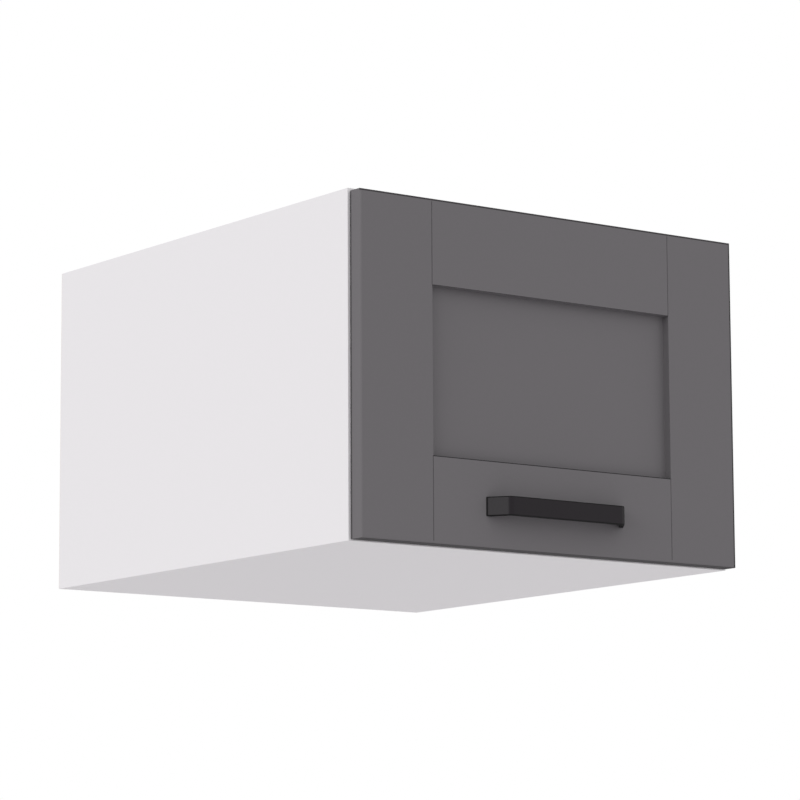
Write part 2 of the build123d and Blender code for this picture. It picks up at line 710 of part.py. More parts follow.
def handle():
    """Cast bow handle: a flat strap with splayed legs and a screw boss hidden behind each leg."""
    outer = handle_solid(0, HANDLE_BEND)
    rims = outer.faces().filter_by(Axis.Z).edges()
    feet = rims.filter_by_position(Axis.Y, DOOR_FRONT - EDGE_PICK, DOOR_FRONT + EDGE_PICK)
    bow = fillet(rims - feet, HANDLE_EDGE)
    bow -= handle_solid(HANDLE_STRAP, HANDLE_BEND - HANDLE_STRAP)
    depth = (DOOR_FRONT - HANDLE_PROJECTION, DOOR_FRONT)
    for side in SIDES:
        boss = round_y(HANDLE_BOSS_RADIUS, depth, side * HANDLE_HOLE_X, HANDLE_Z)
        bow += boss & handle_solid(HANDLE_EDGE, HANDLE_BEND)
    for side in SIDES:
        hole = (DOOR_FRONT - HANDLE_HOLE_DEPTH, DOOR_FRONT)
        bow -= round_y(HANDLE_SCREW_RADIUS + FIT, hole, side * HANDLE_HOLE_X, HANDLE_Z)
    return bow


def handle_screws():
    """Machine screws from inside the door, their pan heads on the back of the bottom rail."""
    screws = []
    for side in SIDES:
        x = side * HANDLE_HOLE_X
        screw = round_y(HANDLE_SCREW_RADIUS, (DOOR_FRONT - HANDLE_SCREW_BITE, DOOR_BACK), x, HANDLE_Z)
        screw += pan_head_y(BRACKET_SCREW_HEAD_RADIUS, BRACKET_SCREW_HEAD, DOOR_BACK, x, HANDLE_Z)
        screws.append(screw)
    return screws


# Screw heads

def pan_head_y(radius, height, seat, x, z):
    """A pan head that stands back from the face at seat."""
    head = round_y(radius, (seat, seat + height), x, z)
    return chamfer(head.faces().sort_by(Axis.Y)[-1].edges(), height * HEAD_BEVEL)


def pan_head_z(radius, height, seat, x, y):
    """A pan head that hangs below the face at seat."""
    head = round_z(radius, (seat - height, seat), x, y)
    return chamfer(head.faces().sort_by(Axis.Z)[0].edges(), height * HEAD_BEVEL)


# Cup hinges

def cup_ear_z():
    return CUP_Z - CUP_EAR_BELOW_CENTRE


def cup_screw_places(x):
    return (x - CUP_EAR_SPACING / 2, x + CUP_EAR_SPACING / 2)


def hinge_cup(side):
    """Pressed cup let into the rail, with its flange, two screw ears, side cheeks and pivot lugs."""
    x = side * HINGE_X
    flange_face = DOOR_BACK + CUP_FLANGE
    cup = round_y(CUP_RADIUS, (DOOR_BACK - CUP_DEPTH, DOOR_BACK), x, CUP_Z)
    flange = round_y(CUP_RADIUS + CUP_FLANGE_LIP, (DOOR_BACK, flange_face), x, CUP_Z)
    ear_z = (cup_ear_z() - CUP_EAR_RADIUS, cup_ear_z() + CUP_EAR_RADIUS)
    flange += block(cup_screw_places(x), (DOOR_BACK, flange_face), ear_z)
    for screw_x in cup_screw_places(x):
        flange += round_y(CUP_EAR_RADIUS, (DOOR_BACK, flange_face), screw_x, cup_ear_z())
    cup += flange
    hollow = round_y(CUP_RADIUS - CUP_WALL, (CUP_FLOOR_Y, flange_face), x, CUP_Z)
    cup -= hollow
    fittings = None
    for way in SIDES:
        cheek_x = (x + way * (OUTER_LINK_OUTER + LINK_SIDE_GAP), x + way * CHEEK_OUTER)
        cheek = block(cheek_x, (CUP_FLOOR_Y, DOOR_BACK - CHEEK_BELOW_RIM), (AXIS_Z - CHEEK_DEPTH, DOOR_TOP))
        lug = cup_lug((x + way * LUG_INNER, x + way * LUG_OUTER))
        fittings = cheek + lug if fittings is None else fittings + cheek + lug
    cup += fittings & round_y(CUP_RADIUS - CUP_WALL / 2, (CUP_FLOOR_Y - CUP_FLOOR / 2, DOOR_BACK), x, CUP_Z)
    for screw_x in cup_screw_places(x):
        cup -= round_y(CUP_SCREW_RADIUS + FIT, (DOOR_BACK, flange_face), screw_x, cup_ear_z())
    return cup


def cup_lug(x_limits):
    """A lug that rises from the cup's floor to carry the inner link's pivot."""
    y, z = INNER_CUP_PIVOT
    foot = (CUP_FLOOR_Y - CUP_FLOOR / 2, y)
    lug = block(x_limits, foot, (z - LINK_EYE_RADIUS, z + LINK_EYE_RADIUS))
    return lug + round_x(LINK_EYE_RADIUS, x_limits, y, z)


def cup_screws():
    screws = []
    for side in SIDES:
        for x in cup_screw_places(side * HINGE_X):
            seat = DOOR_BACK + CUP_FLANGE
            screw = round_y(CUP_SCREW_RADIUS, (seat - CUP_SCREW_LENGTH, seat), x, cup_ear_z())
            screws.append(screw + pan_head_y(CUP_SCREW_HEAD_RADIUS, CUP_SCREW_HEAD, seat, x, cup_ear_z()))
    return screws


def link_bar(arm_pivot, cup_pivot, x_limits):
    """One flat limb of a link: an eye on the arm's pin, a bar and a rounded tip at the cup's pivot."""
    along = direction(arm_pivot, cup_pivot)
    normal = (-along[1] * LINK_HALF_THICKNESS, along[0] * LINK_HALF_THICKNESS)
    corners = [
        (arm_pivot[0] + normal[0], arm_pivot[1] + normal[1]),
        (cup_pivot[0] + normal[0], cup_pivot[1] + normal[1]),
        (cup_pivot[0] - normal[0], cup_pivot[1] - normal[1]),
        (arm_pivot[0] - normal[0], arm_pivot[1] - normal[1]),
    ]
    bar = side_outline(corners, x_limits)
    bar += round_x(LINK_EYE_RADIUS, x_limits, *arm_pivot)
    bar += round_x(LINK_TIP_RADIUS, x_limits, *cup_pivot)
    return bar - round_x(PIN_RADIUS + PIN_CLEARANCE, x_limits, *arm_pivot)


def hinge_inner_link(side):
    """The narrow link between the outer link's two limbs."""
    x = side * HINGE_X
    return link_bar(INNER_ARM_PIVOT, INNER_CUP_PIVOT, (x - INNER_LINK_HALF, x + INNER_LINK_HALF))


def hinge_outer_link(side):
    """The wide link: two limbs joined by a web on the side that faces the room."""
    x = side * HINGE_X
    link = None
    for way in SIDES:
        limb = link_bar(
            OUTER_ARM_PIVOT, OUTER_CUP_PIVOT, (x + way * OUTER_LINK_INNER, x + way * OUTER_LINK_OUTER)
        )
        link = limb if link is None else link + limb
    along = direction(OUTER_ARM_PIVOT, OUTER_CUP_PIVOT)
    toward_room = (-along[1], along[0])

    def web_corner(run, offset):
        return tuple(OUTER_ARM_PIVOT[i] + along[i] * run + toward_room[i] * offset for i in range(2))

    skin = WEB_OFFSET + WEB_THICKNESS
    web = [(WEB_START, WEB_OFFSET), (WEB_END, WEB_OFFSET), (WEB_END, skin), (WEB_START, skin)]
    web_x = (x - OUTER_LINK_OUTER, x + OUTER_LINK_OUTER)
    link += side_outline([web_corner(*corner) for corner in web], web_x)
    for way in SIDES:
        rib = [(WEB_START, 0), (WEB_END, 0), (WEB_END, skin), (WEB_START, skin)]
        limb_x = (x + way * OUTER_LINK_INNER, x + way * OUTER_LINK_OUTER)
        link += side_outline([web_corner(*corner) for corner in rib], limb_x)
    return link


def hinge_pins():
    """Rivet pins through the arm's nose, one for each link."""
    pins = []
    for side in SIDES:
        x = side * HINGE_X
        for pivot in (INNER_ARM_PIVOT, OUTER_ARM_PIVOT):
            pins.append(round_x(PIN_RADIUS, (x - ARM_OUTER, x + ARM_OUTER), *pivot))
    return pins


# Hinge arms and their mounting plates, under the top panel

def plate_middle_y():
    return FRONT + PLATE_FROM_FRONT


def plate_end_y():
    return plate_middle_y() - PLATE_WING_LENGTH / 2 + PLATE_LENGTH


def arm_web_top():
    return INNER_TOP - ARM_DROP + ARM_STEEL


def plate_screw_places(side):
    return [(side * HINGE_X + way * PLATE_SCREW_SPACING / 2, plate_middle_y()) for way in SIDES]


def arm_screw_places(side):
    rows = (plate_middle_y(), plate_end_y() - ARM_SCREW_FROM_PLATE_END)
    return [(side * HINGE_X, y) for y in rows]


def hinge_plate(side):
    """Mounting plate: two screwed wings and the rail that the arm slides over."""
    x = side * HINGE_X
    start = plate_middle_y() - PLATE_WING_LENGTH / 2
    wings = block(
        (x - PLATE_WING, x + PLATE_WING),
        (start, start + PLATE_WING_LENGTH),
        (INNER_TOP - PLATE_WING_THICKNESS, INNER_TOP),
    )
    wings = fillet(wings.edges().filter_by(Axis.Z), PLATE_WING_CORNER)
    rail_half = ARM_INNER - PLATE_SIDE_PLAY
    rail = block((x - rail_half, x + rail_half), (start, plate_end_y()), (arm_web_top(), INNER_TOP))
    plate = wings + chamfer(rail.edges().filter_by(Axis.Z), PLATE_RAIL_CHAMFER)
    for screw_x, y in plate_screw_places(side):
        wing_z = (INNER_TOP - PLATE_WING_THICKNESS, INNER_TOP)
        plate -= round_z(PLATE_SCREW_RADIUS + FIT, wing_z, screw_x, y)
    for screw_x, y in arm_screw_places(side):
        plate -= round_z(ARM_SCREW_RADIUS + FIT, (arm_web_top(), INNER_TOP), screw_x, y)
    return plate


def hinge_plate_screws():
    screws = []
    seat = INNER_TOP - PLATE_WING_THICKNESS
    for x, y in plate_screw_places(-1) + plate_screw_places(1):
        screw = round_z(PLATE_SCREW_RADIUS, (seat, seat + PLATE_SCREW_LENGTH), x, y)
        screws.append(screw + pan_head_z(PLATE_SCREW_HEAD_RADIUS, PLATE_SCREW_HEAD, seat, x, y))
    return screws


def hinge_arm(side):
    """Pressed channel over the plate's rail, whose two cheeks drop into a nose that holds the pins."""
    x = side * HINGE_X
    rear = FRONT + ARM_LENGTH
    under = INNER_TOP - ARM_DROP
    flange_top = INNER_TOP - ARM_FLANGE_GAP
    near_y, near_z = OUTER_ARM_PIVOT
    far_y, far_z = INNER_ARM_PIVOT
    bend_y = FRONT + ARM_SLOPE_START
    cheek = [
        (rear, under),
        (bend_y, under),
        (far_y + ARM_NOSE_UNDER, far_z - NOSE_RADIUS),
        (near_y, near_z - NOSE_RADIUS),
        (near_y, near_z + NOSE_RADIUS),
        (far_y + ARM_NOSE_OVER, far_z + NOSE_RADIUS),
        (bend_y - ARM_SHOULDER_BACK, flange_top - ARM_SHOULDER_DROP),
        (bend_y, flange_top),
        (rear, flange_top),
    ]
    arm = block((x - ARM_OUTER, x + ARM_OUTER), (bend_y, rear), (under, under + ARM_STEEL))
    for way in SIDES:
        cheek_x = (x + way * ARM_INNER, x + way * ARM_OUTER)
        arm += side_outline(cheek, cheek_x)
        arm += round_x(NOSE_RADIUS, cheek_x, near_y, near_z)
    for pivot in (INNER_ARM_PIVOT, OUTER_ARM_PIVOT):
        arm -= round_x(PIN_RADIUS + FIT, (x - ARM_OUTER, x + ARM_OUTER), *pivot)
    for screw_x, y in arm_screw_places(side):
        arm -= round_z(ARM_SCREW_RADIUS + FIT, (under, under + ARM_STEEL), screw_x, y)
    return arm


def hinge_arm_screws():
    """The locking screw and the adjusting screw, through the arm's web into the plate's rail."""
    screws = []
    seat = INNER_TOP - ARM_DROP
    for x, y in arm_screw_places(-1) + arm_screw_places(1):
        screw = round_z(ARM_SCREW_RADIUS, (seat, INNER_TOP), x, y)
        screws.append(screw + pan_head_z(ARM_SCREW_HEAD_RADIUS, ARM_SCREW_HEAD, seat, x, y))
    return screws


# Gas strut

def ball_stud(x_ball, x_plate, y, z):
    """A round neck from the bracket with the ball on its end."""
    neck = round_x(BALL_NECK_RADIUS, (x_ball, x_plate), y, z)
    return neck + Pos(x_ball, y, z) * Sphere(BALL_RADIUS)


def side_bracket_screws():
    y, z = STRUT_LOWER
    return ((y, z - SIDE_SCREW_OFFSET), (y, z + SIDE_SCREW_OFFSET))


def door_bracket_limits():
    """Z limits of the door bracket's foot, below the ball, away from the strut's path."""
    start = STRUT_UPPER[1] - DOOR_BRACKET_START
    return (start - DOOR_BRACKET_LENGTH, start)


def door_bracket_screws():
    leg_outer = STRUT_X + SOCKET_HALF + STUD_LENGTH + BRACKET_STEEL
    x = leg_outer - DOOR_BRACKET_WIDTH / 2 - DOOR_SCREW_OFFSET
    low, high = door_bracket_limits()
    return ((x, low + DOOR_SCREW_INSET), (x, high - DOOR_SCREW_INSET))


def strut_side_bracket():
    """Plate on the right side panel, with the ball that the strut's lower socket clips over."""
    y, z = STRUT_LOWER
    inner = INNER_HALF - BRACKET_STEEL
    plate = block(
        (inner, INNER_HALF),
        (y - SIDE_BRACKET_HALF_WIDTH, y + SIDE_BRACKET_HALF_WIDTH),
        (z - SIDE_BRACKET_HALF_HEIGHT, z + SIDE_BRACKET_HALF_HEIGHT),
    )
    plate = fillet(plate.edges().filter_by(Axis.X), SIDE_BRACKET_CORNER)
    plate += ball_stud(STRUT_X, inner, y, z)
    for screw_y, screw_z in side_bracket_screws():
        plate -= round_x(BRACKET_SCREW_RADIUS + FIT, (inner, INNER_HALF), screw_y, screw_z)
    return plate


def strut_door_bracket():
    """Angle on the back of the right stile; its stud stops just short of the upper socket."""
    y, z = STRUT_UPPER
    leg_inner = STRUT_X + SOCKET_HALF + STUD_LENGTH
    leg_x = (leg_inner, leg_inner + BRACKET_STEEL)
    low, high = door_bracket_limits()
    foot_y = (DOOR_BACK, DOOR_BACK + BRACKET_STEEL)
    foot = block((leg_x[1] - DOOR_BRACKET_WIDTH, leg_x[1]), foot_y, (low, high))
    foot = fillet(foot.edges().filter_by(Axis.Y).sort_by(Axis.X)[:2], DOOR_BRACKET_CORNER)
    reach = DOOR_BRACKET_EYE
    outline = [
        (DOOR_BACK, low + DOOR_BRACKET_LENGTH / 3),
        (DOOR_BACK, high),
        (y - reach, z + reach / 2),
        (y + reach, z + reach / 2),
        (y + reach, z - reach),
        (DOOR_BACK + BRACKET_STEEL * 2, low + DOOR_BRACKET_LENGTH / 3),
    ]
    bracket = foot + side_outline(outline, leg_x)
    bracket += round_x(reach, leg_x, y, z)
    bracket += round_x(BALL_NECK_RADIUS, (STRUT_X + SOCKET_HALF + STUD_GAP, leg_x[0]), y, z)
    for screw_x, screw_z in door_bracket_screws():
        bracket -= round_y(BRACKET_SCREW_RADIUS + FIT, foot_y, screw_x, screw_z)
    return bracket


def strut_side_screws():
    """Wood screws of the bracket on the side panel."""
    screws = []
    inner = INNER_HALF - BRACKET_STEEL
    for y, z in side_bracket_screws():
        screw = round_x(BRACKET_SCREW_RADIUS, (inner, inner + BRACKET_SCREW_LENGTH), y, z)
        head = round_x(BRACKET_SCREW_HEAD_RADIUS, (inner - BRACKET_SCREW_HEAD, inner), y, z)
        head = chamfer(head.faces().sort_by(Axis.X)[0].edges(), BRACKET_SCREW_HEAD * HEAD_BEVEL)
        screws.append(screw + head)
    return screws


def strut_door_screws():
    """Wood screws of the bracket on the door."""
    screws = []
    for x, z in door_bracket_screws():
        seat = DOOR_BACK + BRACKET_STEEL
        screw = round_y(BRACKET_SCREW_RADIUS, (seat - BRACKET_SCREW_LENGTH, seat), x, z)
        screws.append(screw + pan_head_y(BRACKET_SCREW_HEAD_RADIUS, BRACKET_SCREW_HEAD, seat, x, z))
    return screws


def socket_head(height):
    """Moulded socket across the strut's line, hollowed for the ball and open toward the bracket."""
    head = Pos(0, 0, height) * Rot(0, 90, 0) * Cylinder(SOCKET_RADIUS, 2 * SOCKET_HALF)
    head -= Pos(0, 0, height) * Sphere(BALL_RADIUS + BALL_CLEARANCE)
    return head - round_x(BALL_RADIUS + BALL_CLEARANCE, (0, SOCKET_HALF), 0, height)


def neck_of(head, height, way):
    """The round neck between a socket and the strut, open where the ball sits."""
    start = height + way * BALL_RADIUS
    neck = round_z(SOCKET_NECK_RADIUS, (start, height + way * SOCKET_NECK), 0, 0)
    neck -= Pos(0, 0, height) * Sphere(BALL_RADIUS + BALL_CLEARANCE)
    neck -= round_x(BALL_RADIUS + BALL_CLEARANCE, (0, SOCKET_HALF), 0, height)
    return head + neck


def strut_lower_socket():
    socket = neck_of(socket_head(0), 0, 1)
    socket -= round_z(SOCKET_NECK_RADIUS, (TUBE_START, SOCKET_NECK), 0, 0)
    return STRUT_FRAME * socket


def strut_upper_socket():
    socket = neck_of(socket_head(STRUT_LENGTH), STRUT_LENGTH, -1)
    rod_end = STRUT_LENGTH - SOCKET_NECK
    socket -= round_z(ROD_RADIUS, (rod_end, rod_end + ROD_IN_SOCKET), 0, 0)
    return STRUT_FRAME * socket


def strut_ball():
    """The upper ball, kept in its socket: the linkage is parted at this stud."""
    return STRUT_FRAME * Pos(0, 0, STRUT_LENGTH) * Sphere(BALL_RADIUS)


def strut_tube():
    """Pressure tube, closed at its foot, with its open end rolled over the gland."""
    tube = round_z(TUBE_RADIUS, (TUBE_START, TUBE_END), 0, 0)
    ends = tube.faces().filter_by(Axis.Z).edges()
    tube = fillet(ends, TUBE_ROLL)
    tube -= round_z(TUBE_RADIUS - TUBE_WALL, (TUBE_START + TUBE_FLOOR, TUBE_END - TUBE_WALL), 0, 0)
    mouth = round_z(ROD_RADIUS + TUBE_MOUTH_GAP, (TUBE_END - TUBE_WALL, TUBE_END), 0, 0)
    return STRUT_FRAME * (tube - mouth)


def strut_gland():
    """Rod guide and seal inside the tube's end."""
    end = TUBE_END - TUBE_WALL
    gland = round_z(TUBE_RADIUS - TUBE_WALL, (end - GLAND_LENGTH, end), 0, 0)
    return STRUT_FRAME * (gland - round_z(ROD_RADIUS + ROD_CLEARANCE, (end - GLAND_LENGTH, end), 0, 0))


def strut_rod():
    """Bright rod with its piston, which slides in the tube."""
    end = STRUT_LENGTH - SOCKET_NECK + ROD_IN_SOCKET
    rod = round_z(ROD_RADIUS, (end - ROD_LENGTH, end), 0, 0)
    piston = round_z(PISTON_RADIUS, (end - ROD_LENGTH, end - ROD_LENGTH + PISTON_LENGTH), 0, 0)
    return STRUT_FRAME * (rod + piston)


# Every node with its piece or pieces

NODES = {
    "side_panel_left": lambda: side_panel(-1),
    "side_panel_right": lambda: side_panel(1),
    "top_panel": top_panel,
    "bottom_panel": lambda: level_panel(INNER_BOTTOM, BOTTOM),
    "back_panel": back_panel,
    "front_edge_bands": front_edge_bands,
    "carcass_dowels": carcass_dowels,
    "cam_bolts": cam_bolts,
    "cam_locks": cam_locks,
    "cam_caps": cam_caps,
    "hanger_body_left": lambda: hanger_body(-1),
    "hanger_body_right": lambda: hanger_body(1),
    "hanger_hook_left": lambda: hanger_hook(-1),
    "hanger_hook_right": lambda: hanger_hook(1),
    "hanger_screws": hanger_screws,
    "hinge_plate_left": lambda: hinge_plate(-1),
    "hinge_plate_right": lambda: hinge_plate(1),
    "hinge_plate_screws": hinge_plate_screws,
    "hinge_arm_left": lambda: hinge_arm(-1),
    "hinge_arm_right": lambda: hinge_arm(1),
    "hinge_arm_screws": hinge_arm_screws,
    "hinge_pins": hinge_pins,
    "strut_side_bracket": strut_side_bracket,
    "strut_side_screws": strut_side_screws,
    "door_stile_left": lambda: door_stile(-1),
    "door_stile_right": lambda: door_stile(1),
    "door_rail_top": door_rail_top,
    "door_rail_bottom": door_rail_bottom,
    "door_panel": door_panel,
    "door_bumpers": door_bumpers,
    "handle": handle,
    "handle_screws": handle_screws,
    "hinge_cup_left": lambda: hinge_cup(-1),
    "hinge_cup_right": lambda: hinge_cup(1),
    "hinge_cup_screws": cup_screws,
    "strut_door_bracket": strut_door_bracket,
    "strut_door_screws": strut_door_screws,
    "hinge_inner_link_left": lambda: hinge_inner_link(-1),
    "hinge_inner_link_right": lambda: hinge_inner_link(1),
    "hinge_outer_link_left": lambda: hinge_outer_link(-1),
    "hinge_outer_link_right": lambda: hinge_outer_link(1),
    "strut_lower_socket": strut_lower_socket,
    "strut_tube": strut_tube,
    "strut_gland": strut_gland,
    "strut_rod": strut_rod,
    "strut_upper_socket": strut_upper_socket,
    "strut_ball": strut_ball,
}


def write_nodes():
    os.makedirs("parts", exist_ok=True)
    for name, make in NODES.items():
        made = make()
        pieces = made if isinstance(made, list) else [made]
        solids = [solid for piece in pieces for solid in piece.solids()]
        export_step(Compound(solids) if len(solids) > 1 else solids[0], f"parts/{name}.step")


def print_motion():
    """The joint places and ratios that follow from the sizes above."""
    print("door axis y, z:", round(AXIS_Y, 3), round(AXIS_Z, 3), "opens", OPEN_ANGLE)
    for name, cup, arm in (
        ("inner link", INNER_CUP_PIVOT, INNER_ARM_PIVOT),
        ("outer link", OUTER_CUP_PIVOT, OUTER_ARM_PIVOT),
    ):
        turn = bearing(arm, opened(cup)) - bearing(arm, cup)
        print(name, "pivot y, z:", arm, "turn", turn, "ratio", turn / OPEN_ANGLE)
    print("strut pivot y, z:", STRUT_LOWER, "turn", STRUT_TURN, "ratio", STRUT_TURN / OPEN_ANGLE)
    print("strut direction y, z:", direction(STRUT_LOWER, STRUT_UPPER))
    metres_per_radian = STRUT_STROKE / 1000 / math.radians(OPEN_ANGLE)
    print("strut length", STRUT_LENGTH, "stroke", STRUT_STROKE, "metres per radian", metres_per_radian)


write_nodes()
print_motion()
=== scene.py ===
import math

import bmesh
import bpy
from mathutils import Matrix, Vector


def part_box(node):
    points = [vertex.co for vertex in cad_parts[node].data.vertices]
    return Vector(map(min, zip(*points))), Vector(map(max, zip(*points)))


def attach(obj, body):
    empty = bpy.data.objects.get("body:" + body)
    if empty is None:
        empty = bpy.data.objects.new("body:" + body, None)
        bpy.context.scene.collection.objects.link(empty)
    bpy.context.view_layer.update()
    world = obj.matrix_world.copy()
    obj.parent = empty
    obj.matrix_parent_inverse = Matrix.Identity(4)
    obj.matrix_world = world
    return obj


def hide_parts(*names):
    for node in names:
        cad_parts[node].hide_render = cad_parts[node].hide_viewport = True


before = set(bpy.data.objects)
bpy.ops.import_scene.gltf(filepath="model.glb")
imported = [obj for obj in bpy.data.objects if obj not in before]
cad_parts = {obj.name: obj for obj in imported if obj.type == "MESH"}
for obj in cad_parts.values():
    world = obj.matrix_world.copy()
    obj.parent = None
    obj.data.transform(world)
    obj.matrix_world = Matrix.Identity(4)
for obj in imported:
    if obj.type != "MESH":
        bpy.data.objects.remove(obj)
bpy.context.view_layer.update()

# Carcass boards: 16 mm chipboard faced on both sides with white melamine paper, which is satin and has
# a very fine pearl. Sawn to size, edged in front, and left raw on the rear edge that lies on the wall.
SAWN_SKIN = 0.0002
REAR_EDGE_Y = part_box("side_panel_left")[1].y - SAWN_SKIN
GLUE_SPECK = (112, 80, 50)
GLUE_LEVEL = 0.62
NOISE_LOW = 0.3
NOISE_HIGH = 0.7


def from_screen(colour):
    """Turns a colour as a screen shows it, 0 to 255, into the light values that a shader takes."""
    shares = [part / 255 for part in colour]
    light = [s / 12.92 if s <= 0.04045 else ((s + 0.055) / 1.055) ** 2.4 for s in shares]
    return (*light, 1.0)


def new_finish(name, colour, roughness, metallic=0.0, specular=0.5):
    """A material with one colour and sheen, which patterns then vary."""
    finish = bpy.data.materials.new(name)
    finish.use_nodes = True
    shader = finish.node_tree.nodes["Principled BSDF"]
    shader.inputs["Base Color"].default_value = from_screen(colour)
    shader.inputs["Roughness"].default_value = roughness
    shader.inputs["Metallic"].default_value = metallic
    shader.inputs["Specular IOR Level"].default_value = specular
    return finish


def feed(finish, socket, output):
    """Joins a pattern to a socket of the finish's shader."""
    shader = finish.node_tree.nodes["Principled BSDF"]
    finish.node_tree.links.new(output, shader.inputs[socket])
    return output


def surface_noise(finish, per_metre, stretch=(1, 1, 1), detail=3.0):
    """Irregular grain fixed to the piece, with so many specks to the metre, drawn out along an axis."""
    nodes, links = finish.node_tree.nodes, finish.node_tree.links
    place = nodes.new("ShaderNodeTexCoord")
    mapping = nodes.new("ShaderNodeMapping")
    mapping.inputs["Scale"].default_value = stretch
    grain = nodes.new("ShaderNodeTexNoise")
    grain.inputs["Scale"].default_value = per_metre
    grain.inputs["Detail"].default_value = detail
    links.new(place.outputs["Object"], mapping.inputs["Vector"])
    links.new(mapping.outputs["Vector"], grain.inputs["Vector"])
    return grain.outputs["Fac"]


def tint(finish, pattern, dark, light):
    """Varies the colour between two shades with a pattern."""
    ramp = finish.node_tree.nodes.new("ShaderNodeValToRGB")
    first, last = ramp.color_ramp.elements
    first.position = NOISE_LOW
    last.position = NOISE_HIGH
    first.color = from_screen(dark)
    last.color = from_screen(light)
    finish.node_tree.links.new(pattern, ramp.inputs["Fac"])
    return feed(finish, "Base Color", ramp.outputs["Color"])


def gloss(finish, pattern, smoothest, roughest):
    """Varies the roughness between two values with a pattern."""
    spread = finish.node_tree.nodes.new("ShaderNodeMapRange")
    spread.inputs["From Min"].default_value = NOISE_LOW
    spread.inputs["From Max"].default_value = NOISE_HIGH
    spread.inputs["To Min"].default_value = smoothest
    spread.inputs["To Max"].default_value = roughest
    finish.node_tree.links.new(pattern, spread.inputs["Value"])
    return feed(finish, "Roughness", spread.outputs["Result"])


def relief(finish, pattern, height, strength):
    """Raises the surface by a pattern, to a height in metres."""
    bump = finish.node_tree.nodes.new("ShaderNodeBump")
    bump.inputs["Distance"].default_value = height
    bump.inputs["Strength"].default_value = strength
    finish.node_tree.links.new(pattern, bump.inputs["Height"])
    feed(finish, "Normal", bump.outputs["Normal"])


def place_along(finish, axis):
    """Where a point of the piece lies along one axis, in metres."""
    nodes, links = finish.node_tree.nodes, finish.node_tree.links
    place = nodes.new("ShaderNodeTexCoord")
    parts = nodes.new("ShaderNodeSeparateXYZ")
    links.new(place.outputs["Object"], parts.inputs["Vector"])
    return parts.outputs[axis]


def reckon(finish, operation, *terms):
    """One step of arithmetic between patterns and numbers."""
    step = finish.node_tree.nodes.new("ShaderNodeMath")
    step.operation = operation
    for socket, term in zip(step.inputs, terms):
        if isinstance(term, (int, float)):
            socket.default_value = term
        else:
            finish.node_tree.links.new(term, socket)
    return step.outputs["Value"]


def paint_over(finish, under, over, mask):
    """Lays one colour over another where a mask is 1."""
    nodes, links = finish.node_tree.nodes, finish.node_tree.links
    blend = nodes.new("ShaderNodeMix")
    blend.data_type = "RGBA"
    links.new(mask, blend.inputs["Factor"])
    for socket, colour in ((blend.inputs["A"], under), (blend.inputs["B"], over)):
        if isinstance(colour, tuple):
            socket.default_value = from_screen(colour)
        else:
            links.new(colour, socket)
    return feed(finish, "Base Color", blend.outputs["Result"])


def dress(finish, *names):
    """Gives CAD pieces their finish."""
    for name in names:
        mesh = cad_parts[name].data
        mesh.materials.clear()
        mesh.materials.append(finish)


melamine = new_finish("white_melamine", (231, 229, 231), roughness=0.5, specular=0.3)
paper = surface_noise(melamine, per_metre=1800)
white_face = tint(melamine, paper, dark=(229, 227, 229), light=(232, 230, 232))
chips = surface_noise(melamine, per_metre=260, detail=6.0)
sawn_chips = tint(melamine, chips, dark=(158, 122, 82), light=(208, 180, 138))
glue = surface_noise(melamine, per_metre=900, detail=4.0)
glue_specks = reckon(melamine, "GREATER_THAN", glue, GLUE_LEVEL)
raw_edge = paint_over(melamine, sawn_chips, GLUE_SPECK, glue_specks)
rear_edge = reckon(melamine, "GREATER_THAN", place_along(melamine, "Y"), REAR_EDGE_Y)
paint_over(melamine, white_face, raw_edge, rear_edge)
pearl = surface_noise(melamine, per_metre=2600)
gloss(melamine, pearl, smoothest=0.46, roughest=0.54)
relief(melamine, pearl, height=0.00001, strength=0.2)
dress(melamine, "side_panel_left", "side_panel_right", "top_panel", "bottom_panel")

# Front edge bands: 0.8 mm white plastic strip, glued on hot and trimmed flush, a little smoother than
# the boards it closes.
edge_band = new_finish("white_edge_band", (229, 227, 229), roughness=0.42, specular=0.35)
rolling = surface_noise(edge_band, per_metre=90, stretch=(1, 1, 0.2))
tint(edge_band, rolling, dark=(227, 225, 227), light=(231, 229, 231))
relief(edge_band, surface_noise(edge_band, per_metre=2200), height=0.00001, strength=0.3)
dress(edge_band, "front_edge_bands")

# Back: 3 mm hardboard, lacquered white on the inside and left brown and fibrous toward the wall, slid
# into grooves and set in from the rear, so that the hooks have room on the wall rail behind it.
LACQUER_SKIN = 0.0003
BARE_FACE_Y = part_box("back_panel")[1].y - LACQUER_SKIN
hardboard = new_finish("back_hardboard", (228, 226, 227), roughness=0.55, specular=0.3)
rolled_lacquer = surface_noise(hardboard, per_metre=120)
painted = tint(hardboard, rolled_lacquer, dark=(226, 224, 225), light=(230, 228, 229))
fibres = surface_noise(hardboard, per_metre=380, stretch=(1, 1, 0.5), detail=6.0)
bare = tint(hardboard, fibres, dark=(104, 72, 44), light=(140, 102, 66))
wall_side = reckon(hardboard, "GREATER_THAN", place_along(hardboard, "Y"), BARE_FACE_Y)
paint_over(hardboard, painted, bare, wall_side)
gloss(hardboard, fibres, smoothest=0.5, roughest=0.7)
relief(hardboard, fibres, height=0.00004, strength=0.3)
dress(hardboard, "back_panel")

